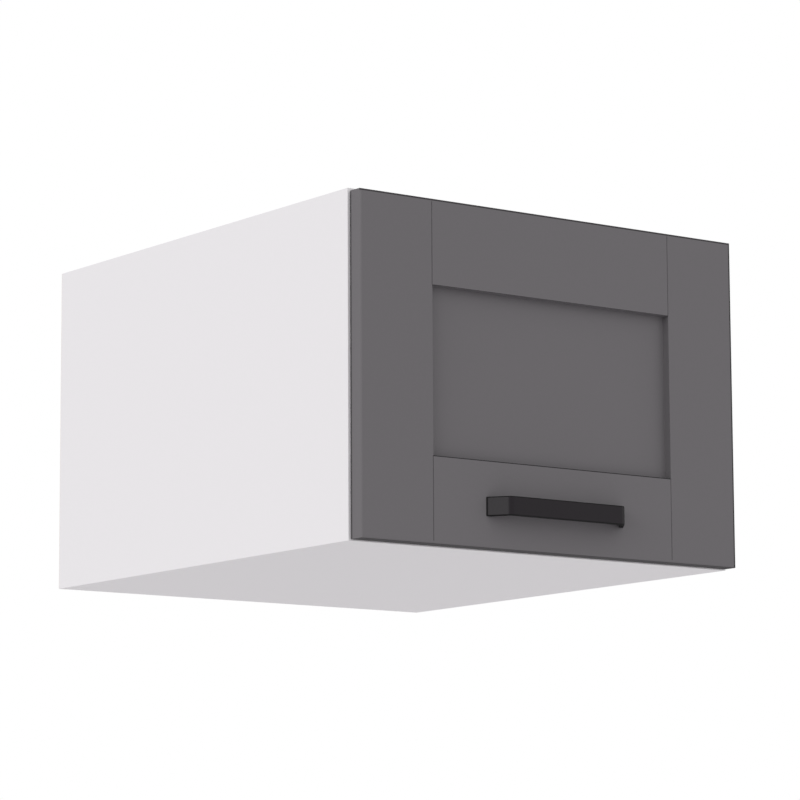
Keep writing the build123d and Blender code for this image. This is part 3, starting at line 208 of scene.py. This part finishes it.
# Corner joints: beech dowels, raw die-cast cams, zinc-plated bolts and white plastic caps that press
# over the cams. Only the caps show, inside the cabinet.
beech = new_finish("beech_dowel", (199, 160, 112), roughness=0.65, specular=0.3)
beech_grain = surface_noise(beech, per_metre=300, stretch=(0.08, 1, 1), detail=5.0)
tint(beech, beech_grain, dark=(176, 134, 88), light=(214, 178, 131))
relief(beech, beech_grain, height=0.0001, strength=0.5)
dress(beech, "carcass_dowels")
die_cast = new_finish("die_cast_zinc", (168, 170, 172), roughness=0.5, metallic=1.0)
casting_skin = surface_noise(die_cast, per_metre=900, detail=4.0)
tint(die_cast, casting_skin, dark=(150, 152, 154), light=(180, 182, 184))
gloss(die_cast, casting_skin, smoothest=0.42, roughest=0.6)
relief(die_cast, casting_skin, height=0.00005, strength=0.4)
dress(die_cast, "cam_locks")
zinc = new_finish("bright_zinc", (196, 199, 203), roughness=0.3, metallic=1.0)
zinc_haze = surface_noise(zinc, per_metre=260, detail=4.0)
tint(zinc, zinc_haze, dark=(188, 192, 198), light=(203, 205, 207))
gloss(zinc, zinc_haze, smoothest=0.27, roughest=0.38)
relief(zinc, surface_noise(zinc, per_metre=3000), height=0.000005, strength=0.15)
dress(zinc, "cam_bolts")
cap_plastic = new_finish("white_cap_plastic", (226, 226, 225), roughness=0.45, specular=0.35)
cap_cloud = surface_noise(cap_plastic, per_metre=200)
tint(cap_plastic, cap_cloud, dark=(224, 224, 222), light=(229, 229, 228))
relief(cap_plastic, surface_noise(cap_plastic, per_metre=2600), height=0.00002, strength=0.3)
dress(cap_plastic, "cam_caps")

# Corner hangers: white moulded cases pegged into the sides, each with a pressed, zinc-plated hook that
# passes through the back board and drops over the wall rail.
hanger_plastic = new_finish("white_hanger_plastic", (220, 220, 218), roughness=0.5, specular=0.35)
hanger_cloud = surface_noise(hanger_plastic, per_metre=150)
tint(hanger_plastic, hanger_cloud, dark=(217, 217, 214), light=(224, 224, 222))
relief(hanger_plastic, surface_noise(hanger_plastic, per_metre=1800), height=0.00003, strength=0.4)
dress(hanger_plastic, "hanger_body_left", "hanger_body_right")
dress(zinc, "hanger_hook_left", "hanger_hook_right")

# Screws: plated steel with a pan head, a cross recess for the driver and a rolled thread. Each kind is
# turned and threaded once, lying along Z with its head's seat at zero, then set in its places. Shares
# are parts of the head's, the shank's or the thread's own size.
SPIN_STEPS = 24
THREAD_STEPS = 14
CROWN_SHARE = 0.55
SHOULDER_SHARE = 0.82
SHOULDER_HEIGHT_SHARE = 0.86
RIM_HEIGHT_SHARE = 0.50
CORE_SHARE = 0.80
POINT_SHARE = 0.35
ROOT_SHARE = 0.98
RIDGE_SHARE = 0.28
PLAIN_TIP_SHARE = 2.6
BLADE_LENGTH_SHARE = 1.15
BLADE_WIDTH_SHARE = 0.24
BLADE_HEIGHT_SHARE = 1.3
BLADE_CENTRE_SHARE = 1.05
BLADE_TAPER = 0.45


def turned_screw(shank_radius, length, head_radius, head_height):
    """Head, core and pointed tip, spun from half a profile."""
    core = shank_radius * CORE_SHARE
    profile = [
        (0, head_height),
        (head_radius * CROWN_SHARE, head_height),
        (head_radius * SHOULDER_SHARE, head_height * SHOULDER_HEIGHT_SHARE),
        (head_radius, head_height * RIM_HEIGHT_SHARE),
        (head_radius, 0),
        (core, 0),
        (core, -length + shank_radius),
        (core * POINT_SHARE, -length),
        (0, -length),
    ]
    screw = bmesh.new()
    points = [screw.verts.new((radius, 0, height)) for radius, height in profile]
    edges = [screw.edges.new(pair) for pair in zip(points, points[1:])]
    bmesh.ops.spin(
        screw,
        geom=points + edges,
        cent=(0, 0, 0),
        axis=(0, 0, 1),
        dvec=(0, 0, 0),
        angle=math.tau,
        steps=SPIN_STEPS,
        use_merge=True,
    )
    bmesh.ops.remove_doubles(screw, verts=screw.verts, dist=1e-7)
    bmesh.ops.recalc_face_normals(screw, faces=screw.faces)
    return screw


def add_thread(screw, shank_radius, length, pitch):
    """A ridge wound down the shank, sunk a little into the core and closed at both ends."""
    root = shank_radius * CORE_SHARE * ROOT_SHARE
    half = pitch * RIDGE_SHARE
    start = -pitch
    corners = [(root, start + half), (shank_radius, start), (root, start - half)]
    ridge = [screw.verts.new((radius, 0, height)) for radius, height in corners]
    first = screw.faces.new(ridge)
    turns = (length - PLAIN_TIP_SHARE * shank_radius - pitch) / pitch
    steps = round(turns * THREAD_STEPS)
    bmesh.ops.spin(
        screw,
        geom=[first] + list(first.edges) + list(first.verts),
        cent=(0, 0, 0),
        axis=(0, 0, 1),
        dvec=(0, 0, -pitch / THREAD_STEPS),
        angle=math.tau * steps / THREAD_STEPS,
        steps=steps,
        use_merge=False,
    )
    bmesh.ops.recalc_face_normals(screw, faces=screw.faces)


def cut_cross(mesh, head_radius, head_height):
    """Sinks the driver's cross into the head with two tapered blades."""
    blade_size = (
        head_radius * BLADE_LENGTH_SHARE,
        head_radius * BLADE_WIDTH_SHARE,
        head_height * BLADE_HEIGHT_SHARE,
    )
    blades = bmesh.new()
    for turned in (0, math.pi / 2):
        blade = bmesh.ops.create_cube(blades, size=1.0)["verts"]
        bmesh.ops.scale(blades, vec=blade_size, verts=blade)
        bmesh.ops.translate(blades, vec=(0, 0, head_height * BLADE_CENTRE_SHARE), verts=blade)
        for corner in blade:
            if corner.co.z < head_height:
                corner.co.x *= BLADE_TAPER
        bmesh.ops.rotate(blades, cent=(0, 0, 0), matrix=Matrix.Rotation(turned, 3, "Z"), verts=blade)
    cutter_mesh = bpy.data.meshes.new("recess_blades")
    blades.to_mesh(cutter_mesh)
    blades.free()
    cutter = bpy.data.objects.new("recess_blades", cutter_mesh)
    blank = bpy.data.objects.new("screw_blank", mesh)
    for helper in (cutter, blank):
        bpy.context.scene.collection.objects.link(helper)
    cut = blank.modifiers.new("recess", "BOOLEAN")
    cut.operation = "DIFFERENCE"
    cut.solver = "EXACT"
    cut.use_self = True
    cut.object = cutter
    bpy.context.view_layer.update()
    settled = blank.evaluated_get(bpy.context.evaluated_depsgraph_get())
    done = bpy.data.meshes.new_from_object(settled)
    bpy.data.objects.remove(blank)
    bpy.data.objects.remove(cutter)
    return done


def make_screw(shank_radius, length, head_radius, head_height, pitch):
    """One kind of screw, with its recess and its thread."""
    turned = turned_screw(shank_radius, length, head_radius, head_height)
    mesh = bpy.data.meshes.new("screw")
    turned.to_mesh(mesh)
    turned.free()
    threaded = bmesh.new()
    threaded.from_mesh(cut_cross(mesh, head_radius, head_height))
    add_thread(threaded, shank_radius, length, pitch)
    threaded.to_mesh(mesh)
    threaded.free()
    return mesh


def screw_rows(node, head_radius):
    """The lowest, middle and highest places of a node's screws, from the box of the plain CAD screws."""
    low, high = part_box(node)
    inset = Vector((head_radius, head_radius, head_radius))
    return low + inset, (low + high) / 2, high - inset


def set_screws(node, body, mesh, places, direction, finish):
    """Sets copies of one screw at their seats, heads to a direction, in place of the plain CAD screws."""
    facing = Vector(direction).to_track_quat("Z", "Y").to_matrix().to_4x4()
    together = bmesh.new()
    for place in places:
        already = len(together.verts)
        together.from_mesh(mesh)
        added = list(together.verts)[already:]
        bmesh.ops.transform(together, matrix=Matrix.Translation(place) @ facing, verts=added)
    made = bpy.data.meshes.new(node + "_threaded")
    together.to_mesh(made)
    together.free()
    made.materials.append(finish)
    made.shade_flat()
    screws = bpy.data.objects.new(node + "_threaded", made)
    bpy.context.scene.collection.objects.link(screws)
    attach(screws, body)
    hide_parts(node)


# Hanger screws: in each case the upper one draws the hook back and the lower one sets its height. They
# are zinc-plated machine screws whose heads lie on the case's face.
HANGER_SCREW_HEAD = 0.0045
HANGER_FACE_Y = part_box("hanger_body_left")[0].y
hanger_screw = make_screw(
    shank_radius=0.0030,
    length=0.0118,
    head_radius=HANGER_SCREW_HEAD,
    head_height=0.0020,
    pitch=0.0010,
)
low, _, high = screw_rows("hanger_screws", HANGER_SCREW_HEAD)
hanger_seats = [(x, HANGER_FACE_Y, z) for x in (low.x, high.x) for z in (low.z, high.z)]
set_screws("hanger_screws", "carcass", hanger_screw, hanger_seats, (0, -1, 0), zinc)

# Cup hinges: pressed and nickel-plated steel. The cup lies in the top rail, the arm clips over its
# plate under the top board, and two riveted links join them.
nickel = new_finish("nickel_plate", (186, 184, 180), roughness=0.28, metallic=1.0)
nickel_haze = surface_noise(nickel, per_metre=220, detail=4.0)
tint(nickel, nickel_haze, dark=(184, 182, 178), light=(194, 192, 189))
gloss(nickel, nickel_haze, smoothest=0.26, roughest=0.34)
relief(nickel, surface_noise(nickel, per_metre=2600), height=0.000005, strength=0.15)
for side in ("left", "right"):
    dress(nickel, "hinge_cup_" + side, "hinge_arm_" + side, "hinge_plate_" + side)
    dress(nickel, "hinge_inner_link_" + side, "hinge_outer_link_" + side)
dress(nickel, "hinge_pins")

# Hinge screws: two nickel-plated chipboard screws for each cup, through its ears, and two for each
# mounting plate, through its wings.
SIDES = (-1, 1)
HINGE_X = (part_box("hinge_cup_right")[0].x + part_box("hinge_cup_right")[1].x) / 2
CUP_SEAT_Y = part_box("hinge_cup_right")[1].y
CUP_SCREW_HEAD = 0.0034
cup_screw = make_screw(
    shank_radius=0.0019,
    length=0.0110,
    head_radius=CUP_SCREW_HEAD,
    head_height=0.0014,
    pitch=0.0016,
)
low, middle, high = screw_rows("hinge_cup_screws", CUP_SCREW_HEAD)
EAR_X = high.x - HINGE_X
cup_seats = [(s * HINGE_X + w * EAR_X, CUP_SEAT_Y, middle.z) for s in SIDES for w in SIDES]
set_screws("hinge_cup_screws", "door", cup_screw, cup_seats, (0, 1, 0), nickel)
PLATE_SCREW_HEAD = 0.0036
PLATE_HEAD_HEIGHT = 0.0020
plate_screw = make_screw(
    shank_radius=0.0020,
    length=0.0120,
    head_radius=PLATE_SCREW_HEAD,
    head_height=PLATE_HEAD_HEIGHT,
    pitch=0.0018,
)
low, middle, high = screw_rows("hinge_plate_screws", PLATE_SCREW_HEAD)
WING_X = high.x - HINGE_X
PLATE_SEAT_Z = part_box("hinge_plate_screws")[0].z + PLATE_HEAD_HEIGHT
plate_seats = [(s * HINGE_X + w * WING_X, middle.y, PLATE_SEAT_Z) for s in SIDES for w in SIDES]
set_screws("hinge_plate_screws", "carcass", plate_screw, plate_seats, (0, 0, -1), nickel)

# Hinge arm screws: the locking screw and the adjusting screw of each arm, zinc-plated, through its web
# from below.
ARM_SCREW_HEAD = 0.0040
ARM_HEAD_HEIGHT = 0.0016
arm_screw = make_screw(
    shank_radius=0.0025,
    length=0.0115,
    head_radius=ARM_SCREW_HEAD,
    head_height=ARM_HEAD_HEIGHT,
    pitch=0.0008,
)
low, _, high = screw_rows("hinge_arm_screws", ARM_SCREW_HEAD)
ARM_SEAT_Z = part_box("hinge_arm_screws")[0].z + ARM_HEAD_HEIGHT
arm_seats = [(s * HINGE_X, y, ARM_SEAT_Z) for s in SIDES for y in (low.y, high.y)]
set_screws("hinge_arm_screws", "carcass", arm_screw, arm_seats, (0, 0, -1), zinc)

# Gas strut: black lacquered tube with a bright ground rod, black nylon sockets that clip over steel
# balls, and pressed, zinc-plated brackets.
strut_lacquer = new_finish("black_strut_lacquer", (34, 34, 35), roughness=0.35, specular=0.5)
lacquer_skin = surface_noise(strut_lacquer, per_metre=700)
tint(strut_lacquer, lacquer_skin, dark=(30, 30, 31), light=(39, 39, 40))
gloss(strut_lacquer, lacquer_skin, smoothest=0.3, roughest=0.42)
relief(strut_lacquer, lacquer_skin, height=0.00002, strength=0.4)
dress(strut_lacquer, "strut_tube")
ground_rod = new_finish("ground_rod", (212, 212, 214), roughness=0.12, metallic=1.0)
grinding = surface_noise(ground_rod, per_metre=2400, stretch=(1, 0.15, 0.15))
tint(ground_rod, grinding, dark=(202, 202, 205), light=(220, 220, 221))
gloss(ground_rod, grinding, smoothest=0.08, roughest=0.18)
dress(ground_rod, "strut_rod")
black_nylon = new_finish("black_nylon", (26, 26, 27), roughness=0.55, specular=0.35)
nylon_skin = surface_noise(black_nylon, per_metre=1500)
tint(black_nylon, nylon_skin, dark=(23, 23, 24), light=(31, 31, 32))
gloss(black_nylon, nylon_skin, smoothest=0.5, roughest=0.65)
relief(black_nylon, nylon_skin, height=0.00004, strength=0.5)
dress(black_nylon, "strut_lower_socket", "strut_upper_socket", "strut_gland")
dress(zinc, "strut_ball", "strut_side_bracket", "strut_door_bracket")

# Strut screws: zinc-plated chipboard screws through the two brackets, into the right side and the
# right stile.
STRUT_SCREW_HEAD = 0.0036
STRUT_HEAD_HEIGHT = 0.0018
strut_screw = make_screw(
    shank_radius=0.0020,
    length=0.0120,
    head_radius=STRUT_SCREW_HEAD,
    head_height=STRUT_HEAD_HEIGHT,
    pitch=0.0018,
)
low, middle, high = screw_rows("strut_side_screws", STRUT_SCREW_HEAD)
SIDE_SEAT_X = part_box("strut_side_screws")[0].x + STRUT_HEAD_HEIGHT
side_seats = [(SIDE_SEAT_X, middle.y, z) for z in (low.z, high.z)]
set_screws("strut_side_screws", "carcass", strut_screw, side_seats, (-1, 0, 0), zinc)
low, middle, high = screw_rows("strut_door_screws", STRUT_SCREW_HEAD)
STILE_SEAT_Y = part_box("strut_door_screws")[1].y - STRUT_HEAD_HEIGHT
stile_seats = [(middle.x, STILE_SEAT_Y, z) for z in (low.z, high.z)]
set_screws("strut_door_screws", "door", strut_screw, stile_seats, (0, 1, 0), zinc)

# Door: fibreboard stiles, rails and flat panel, sprayed with a matte grey lacquer whose skin has a
# faint orange peel. Shade is painted into its colour, darker and duller, along its top and right front
# edges, over its underside, on its left edge by the gap behind it and on the rims and side walls of its
# recess. A strength of 1 would make such painted shade as dark as PAINTED_SHADE_GREY.
PAINTED_SHADE_GREY = (30, 28, 30)
FACE_SKIN = 0.0004
PANEL_SKIN = 0.0001
SIDE_SKIN = 0.0003
UPPER_HALF = 0.0003
LOWER_HALF = 0.0009
RECESS_SHADE_STRENGTH = 0.85
WALL_SHADE_STRENGTH = 0.2
TOP_WIDTH = 0.0022
RIGHT_WIDTH = 0.0028
FRONT_WIDTH = 0.0018
OUTLINE_SHADE_STRENGTH = 0.75
REAR_WIDTH = 0.0020
REAR_SHADE_STRENGTH = 0.7
STILE_LOW, STILE_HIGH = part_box("door_stile_right")
STILE_INNER_X = STILE_LOW.x
DOOR_BACK_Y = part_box("door_rail_bottom")[1].y
RECESS_TOP_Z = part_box("door_rail_top")[0].z
RECESS_BOTTOM_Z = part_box("door_rail_bottom")[1].z
PANEL_FRONT_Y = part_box("door_panel")[0].y


def strongest(finish, *masks):
    """The highest of several masks at each point."""
    most = masks[0]
    for mask in masks[1:]:
        most = reckon(finish, "MAXIMUM", most, mask)
    return most


def where_all(finish, *masks):
    """Masks times each other, and times a number that says how strong the result is."""
    shared = masks[0]
    for mask in masks[1:]:
        shared = reckon(finish, "MULTIPLY", shared, mask)
    return shared


lacquer = new_finish("matte_grey_lacquer", (110, 107, 110), roughness=0.6, specular=0.12)
cloud = surface_noise(lacquer, per_metre=1100, detail=2.0)
grey_face = tint(lacquer, cloud, dark=(109, 107, 109), light=(111, 108, 111))
x, y, z = (place_along(lacquer, axis) for axis in "XYZ")
off_middle = reckon(lacquer, "ABSOLUTE", x)
on_face = reckon(lacquer, "LESS_THAN", y, STILE_LOW.y + FACE_SKIN)
between_stiles = reckon(lacquer, "LESS_THAN", off_middle, STILE_INNER_X)
# Painted shade: dark lines on the rail faces along the recess's upper and lower rims.
upper_edge = reckon(lacquer, "COMPARE", z, RECESS_TOP_Z, UPPER_HALF)
lower_edge = reckon(lacquer, "COMPARE", z, RECESS_BOTTOM_Z, LOWER_HALF)
recess_edges = strongest(lacquer, upper_edge, lower_edge)
recess_rim_shade = where_all(lacquer, recess_edges, between_stiles, on_face, RECESS_SHADE_STRENGTH)
before_panel = reckon(lacquer, "LESS_THAN", y, PANEL_FRONT_Y - PANEL_SKIN)
in_recess = reckon(lacquer, "SUBTRACT", before_panel, on_face)
# Painted shade on the recess's side walls, in front of the panel.
stile_wall = reckon(lacquer, "COMPARE", off_middle, STILE_INNER_X, SIDE_SKIN)
recess_wall_shade = where_all(lacquer, stile_wall, in_recess, WALL_SHADE_STRENGTH)
# Painted shade: a dark outline along the top and right front edges only.
top_arris = reckon(lacquer, "GREATER_THAN", z, STILE_HIGH.z - TOP_WIDTH)
right_arris = reckon(lacquer, "GREATER_THAN", x, STILE_HIGH.x - RIGHT_WIDTH)
near_front = reckon(lacquer, "LESS_THAN", y, STILE_LOW.y + FRONT_WIDTH)
front_arrises = strongest(lacquer, top_arris, right_arris)
front_outline_shade = where_all(lacquer, front_arrises, near_front, OUTLINE_SHADE_STRENGTH)
# Painted shade: the whole underside of the door darkened.
lower_face = reckon(lacquer, "LESS_THAN", z, STILE_LOW.z + SIDE_SKIN)
underside_shade = where_all(lacquer, lower_face, OUTLINE_SHADE_STRENGTH)
# Painted shadow: a dark strip on the left edge near the back, where the gap behind the door lies in
# shade.
left_side = reckon(lacquer, "LESS_THAN", x, SIDE_SKIN - STILE_HIGH.x)
rear_arris = reckon(lacquer, "GREATER_THAN", y, DOOR_BACK_Y - REAR_WIDTH)
rear_gap_shade = where_all(lacquer, left_side, rear_arris, REAR_SHADE_STRENGTH)
recess_shade = strongest(lacquer, recess_rim_shade, recess_wall_shade)
painted_shade_lines = strongest(lacquer, recess_shade, front_outline_shade, underside_shade, rear_gap_shade)
# Painted shade laid over the lacquer in all the places above; the same mask also makes them duller.
paint_over(lacquer, grey_face, PAINTED_SHADE_GREY, painted_shade_lines)
orange_peel = surface_noise(lacquer, per_metre=1400)
sheen = gloss(lacquer, orange_peel, smoothest=0.52, roughest=0.6)
feed(lacquer, "Roughness", strongest(lacquer, sheen, painted_shade_lines))
relief(lacquer, orange_peel, height=0.00001, strength=0.25)
dress(lacquer, "door_stile_left", "door_stile_right", "door_rail_top", "door_rail_bottom", "door_panel")

# Bumpers: small milky buttons of soft plastic stuck to the door's back, which quieten its closing.
# Light sinks a little way into them.
soft_button = new_finish("soft_button", (214, 216, 218), roughness=0.35, specular=0.4)
button_shader = soft_button.node_tree.nodes["Principled BSDF"]
button_shader.inputs["Subsurface Weight"].default_value = 0.2
button_shader.inputs["Subsurface Scale"].default_value = 0.002
milk = surface_noise(soft_button, per_metre=500)
tint(soft_button, milk, dark=(209, 211, 214), light=(220, 222, 223))
dress(soft_button, "door_bumpers")

# Handle: a cast zinc bow with splayed legs, coated in satin anthracite that hides the casting. Shade is
# painted darker into the coat along its rounded edges, where the legs meet the door and over the leg
# turned from the light.
HANDLE_SHADE_BLACK = (8, 7, 8)
LONG_EDGE_WIDTH = 0.0011
FOOT_WIDTH = 0.0016
HANDLE_GRIP = 0.150
RIGHT_BEND_INSET = 0.0012
RIGHT_BEND_X = HANDLE_GRIP / 2 - RIGHT_BEND_INSET
EDGE_DULLNESS = 0.7
HANDLE_LOW, HANDLE_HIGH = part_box("handle")
HANDLE_Z = (HANDLE_LOW.z + HANDLE_HIGH.z) / 2
anthracite = new_finish("anthracite_coat", (26, 21, 26), roughness=0.3, specular=0.2)
coat_grain = surface_noise(anthracite, per_metre=1600)
coat = tint(anthracite, coat_grain, dark=(24, 19, 24), light=(28, 23, 28))
x, y, z = (place_along(anthracite, axis) for axis in "XYZ")
# Painted shade along the strap's rounded top and bottom edges.
off_centre = reckon(anthracite, "ABSOLUTE", reckon(anthracite, "SUBTRACT", z, HANDLE_Z))
long_edges = reckon(anthracite, "GREATER_THAN", off_centre, HANDLE_HIGH.z - HANDLE_Z - LONG_EDGE_WIDTH)
# Painted shadow where the legs meet the door.
feet = reckon(anthracite, "GREATER_THAN", y, STILE_LOW.y - FOOT_WIDTH)
# Painted shade over the right leg, which is turned from the lamp.
right_leg = reckon(anthracite, "GREATER_THAN", x, RIGHT_BEND_X)
handle_shade = strongest(anthracite, long_edges, feet, right_leg)
# Painted shade laid over the coat; the same mask also makes it duller.
paint_over(anthracite, coat, HANDLE_SHADE_BLACK, handle_shade)
coat_sheen = gloss(anthracite, coat_grain, smoothest=0.27, roughest=0.35)
dull_coat = where_all(anthracite, handle_shade, EDGE_DULLNESS)
feed(anthracite, "Roughness", strongest(anthracite, coat_sheen, dull_coat))
relief(anthracite, coat_grain, height=0.00001, strength=0.25)
dress(anthracite, "handle")

# Handle screws: M4 machine screws, zinc-plated, through the bottom rail from inside the door into the
# handle's legs.
HANDLE_SCREW_HEAD = 0.0036
handle_screw = make_screw(
    shank_radius=0.0020,
    length=0.0250,
    head_radius=HANDLE_SCREW_HEAD,
    head_height=0.0018,
    pitch=0.0007,
)
low, middle, high = screw_rows("handle_screws", HANDLE_SCREW_HEAD)
handle_seats = [(x, DOOR_BACK_Y, middle.z) for x in (low.x, high.x)]
set_screws("handle_screws", "door", handle_screw, handle_seats, (0, 1, 0), zinc)

# Floor: a plain pale studio floor, so far below the hanging cabinet that it can be looked at from
# underneath. It sends soft light up, and shows white to the eye and in what reflects it.
FLOOR_Z = -6.0
FLOOR_HALF = 150.0
FLOOR_GREY = (220, 218, 220)
FLOOR_WHITE = (255, 255, 255)


def seen_rays(owner):
    """1 for what is seen, straight, mirrored or through glass, and 0 for light that falls on things."""
    rays = owner.node_tree.nodes.new("ShaderNodeLightPath").outputs
    return strongest(owner, rays["Is Camera Ray"], rays["Is Glossy Ray"], rays["Is Transmission Ray"])


floor_sheet = bmesh.new()
bmesh.ops.create_grid(floor_sheet, x_segments=1, y_segments=1, size=FLOOR_HALF)
bmesh.ops.translate(floor_sheet, vec=(0, 0, FLOOR_Z), verts=floor_sheet.verts)
floor_mesh = bpy.data.meshes.new("studio_floor")
floor_sheet.to_mesh(floor_mesh)
floor_sheet.free()
floor_paint = new_finish("pale_floor", FLOOR_GREY, roughness=0.9, specular=0.0)
paint_over(floor_paint, FLOOR_GREY, FLOOR_WHITE, seen_rays(floor_paint))
floor_mesh.materials.append(floor_paint)
floor = bpy.data.objects.new("studio_floor", floor_mesh)
bpy.context.scene.collection.objects.link(floor)

# Light: an even white studio sky, which shows as plain white behind the object, and one broad soft
# lamp from the left that makes the side brighter than the front.
SKY_LEVEL = 0.90
BACKDROP_LEVEL = 1.0
LAMP_LEVEL = 0.80
LAMP_SPREAD = math.radians(40)
LAMP_FROM = (-1.0, -0.27, 0.18)
world = bpy.data.worlds.new("studio_sky")
bpy.context.scene.world = world
world.use_nodes = True
sky_nodes, sky_links = world.node_tree.nodes, world.node_tree.links
sky_light = sky_nodes["Background"]
backdrop = sky_nodes.new("ShaderNodeBackground")
for glow, level in ((sky_light, SKY_LEVEL), (backdrop, BACKDROP_LEVEL)):
    glow.inputs["Color"].default_value = (1, 1, 1, 1)
    glow.inputs["Strength"].default_value = level
choose = sky_nodes.new("ShaderNodeMixShader")
sky_links.new(seen_rays(world), choose.inputs["Fac"])
sky_links.new(sky_light.outputs["Background"], choose.inputs[1])
sky_links.new(backdrop.outputs["Background"], choose.inputs[2])
sky_links.new(choose.outputs["Shader"], sky_nodes["World Output"].inputs["Surface"])
lamp_data = bpy.data.lights.new("left_softbox", "SUN")
lamp_data.energy = LAMP_LEVEL
lamp_data.angle = LAMP_SPREAD
lamp = bpy.data.objects.new("left_softbox", lamp_data)
bpy.context.scene.collection.objects.link(lamp)
lamp.rotation_mode = "QUATERNION"
lamp.rotation_quaternion = Vector(LAMP_FROM).to_track_quat("Z", "Y")

# Camera: low, in front and to the left, looking a little upward, as the photograph was taken. Its lens
# has no shift, so the cabinet's corners lie up to five pixels from the photograph's.
CAMERA_PLACE = (-2.32658, -3.46993, -0.74051)
YAW = 0.634377
PITCH = 0.156011
ROLL = -0.005059
FOCAL_PIXELS = 3600.17
PHOTO_WIDTH = 800
SENSOR_WIDTH = 36.0
ahead = Vector((math.sin(YAW) * math.cos(PITCH), math.cos(YAW) * math.cos(PITCH), math.sin(PITCH)))
level_right = Vector((math.cos(YAW), -math.sin(YAW), 0))
level_up = level_right.cross(ahead)
right = level_right * math.cos(ROLL) + level_up * math.sin(ROLL)
up = level_up * math.cos(ROLL) - level_right * math.sin(ROLL)
camera_data = bpy.data.cameras.new("photo_camera")
camera_data.sensor_width = SENSOR_WIDTH
camera_data.lens = FOCAL_PIXELS * SENSOR_WIDTH / PHOTO_WIDTH
camera = bpy.data.objects.new("photo_camera", camera_data)
bpy.context.scene.collection.objects.link(camera)
turn = Matrix((right, up, -ahead)).transposed().to_4x4()
camera.matrix_world = Matrix.Translation(CAMERA_PLACE) @ turn
bpy.context.scene.camera = camera
bpy.context.scene.view_settings.view_transform = "Standard"
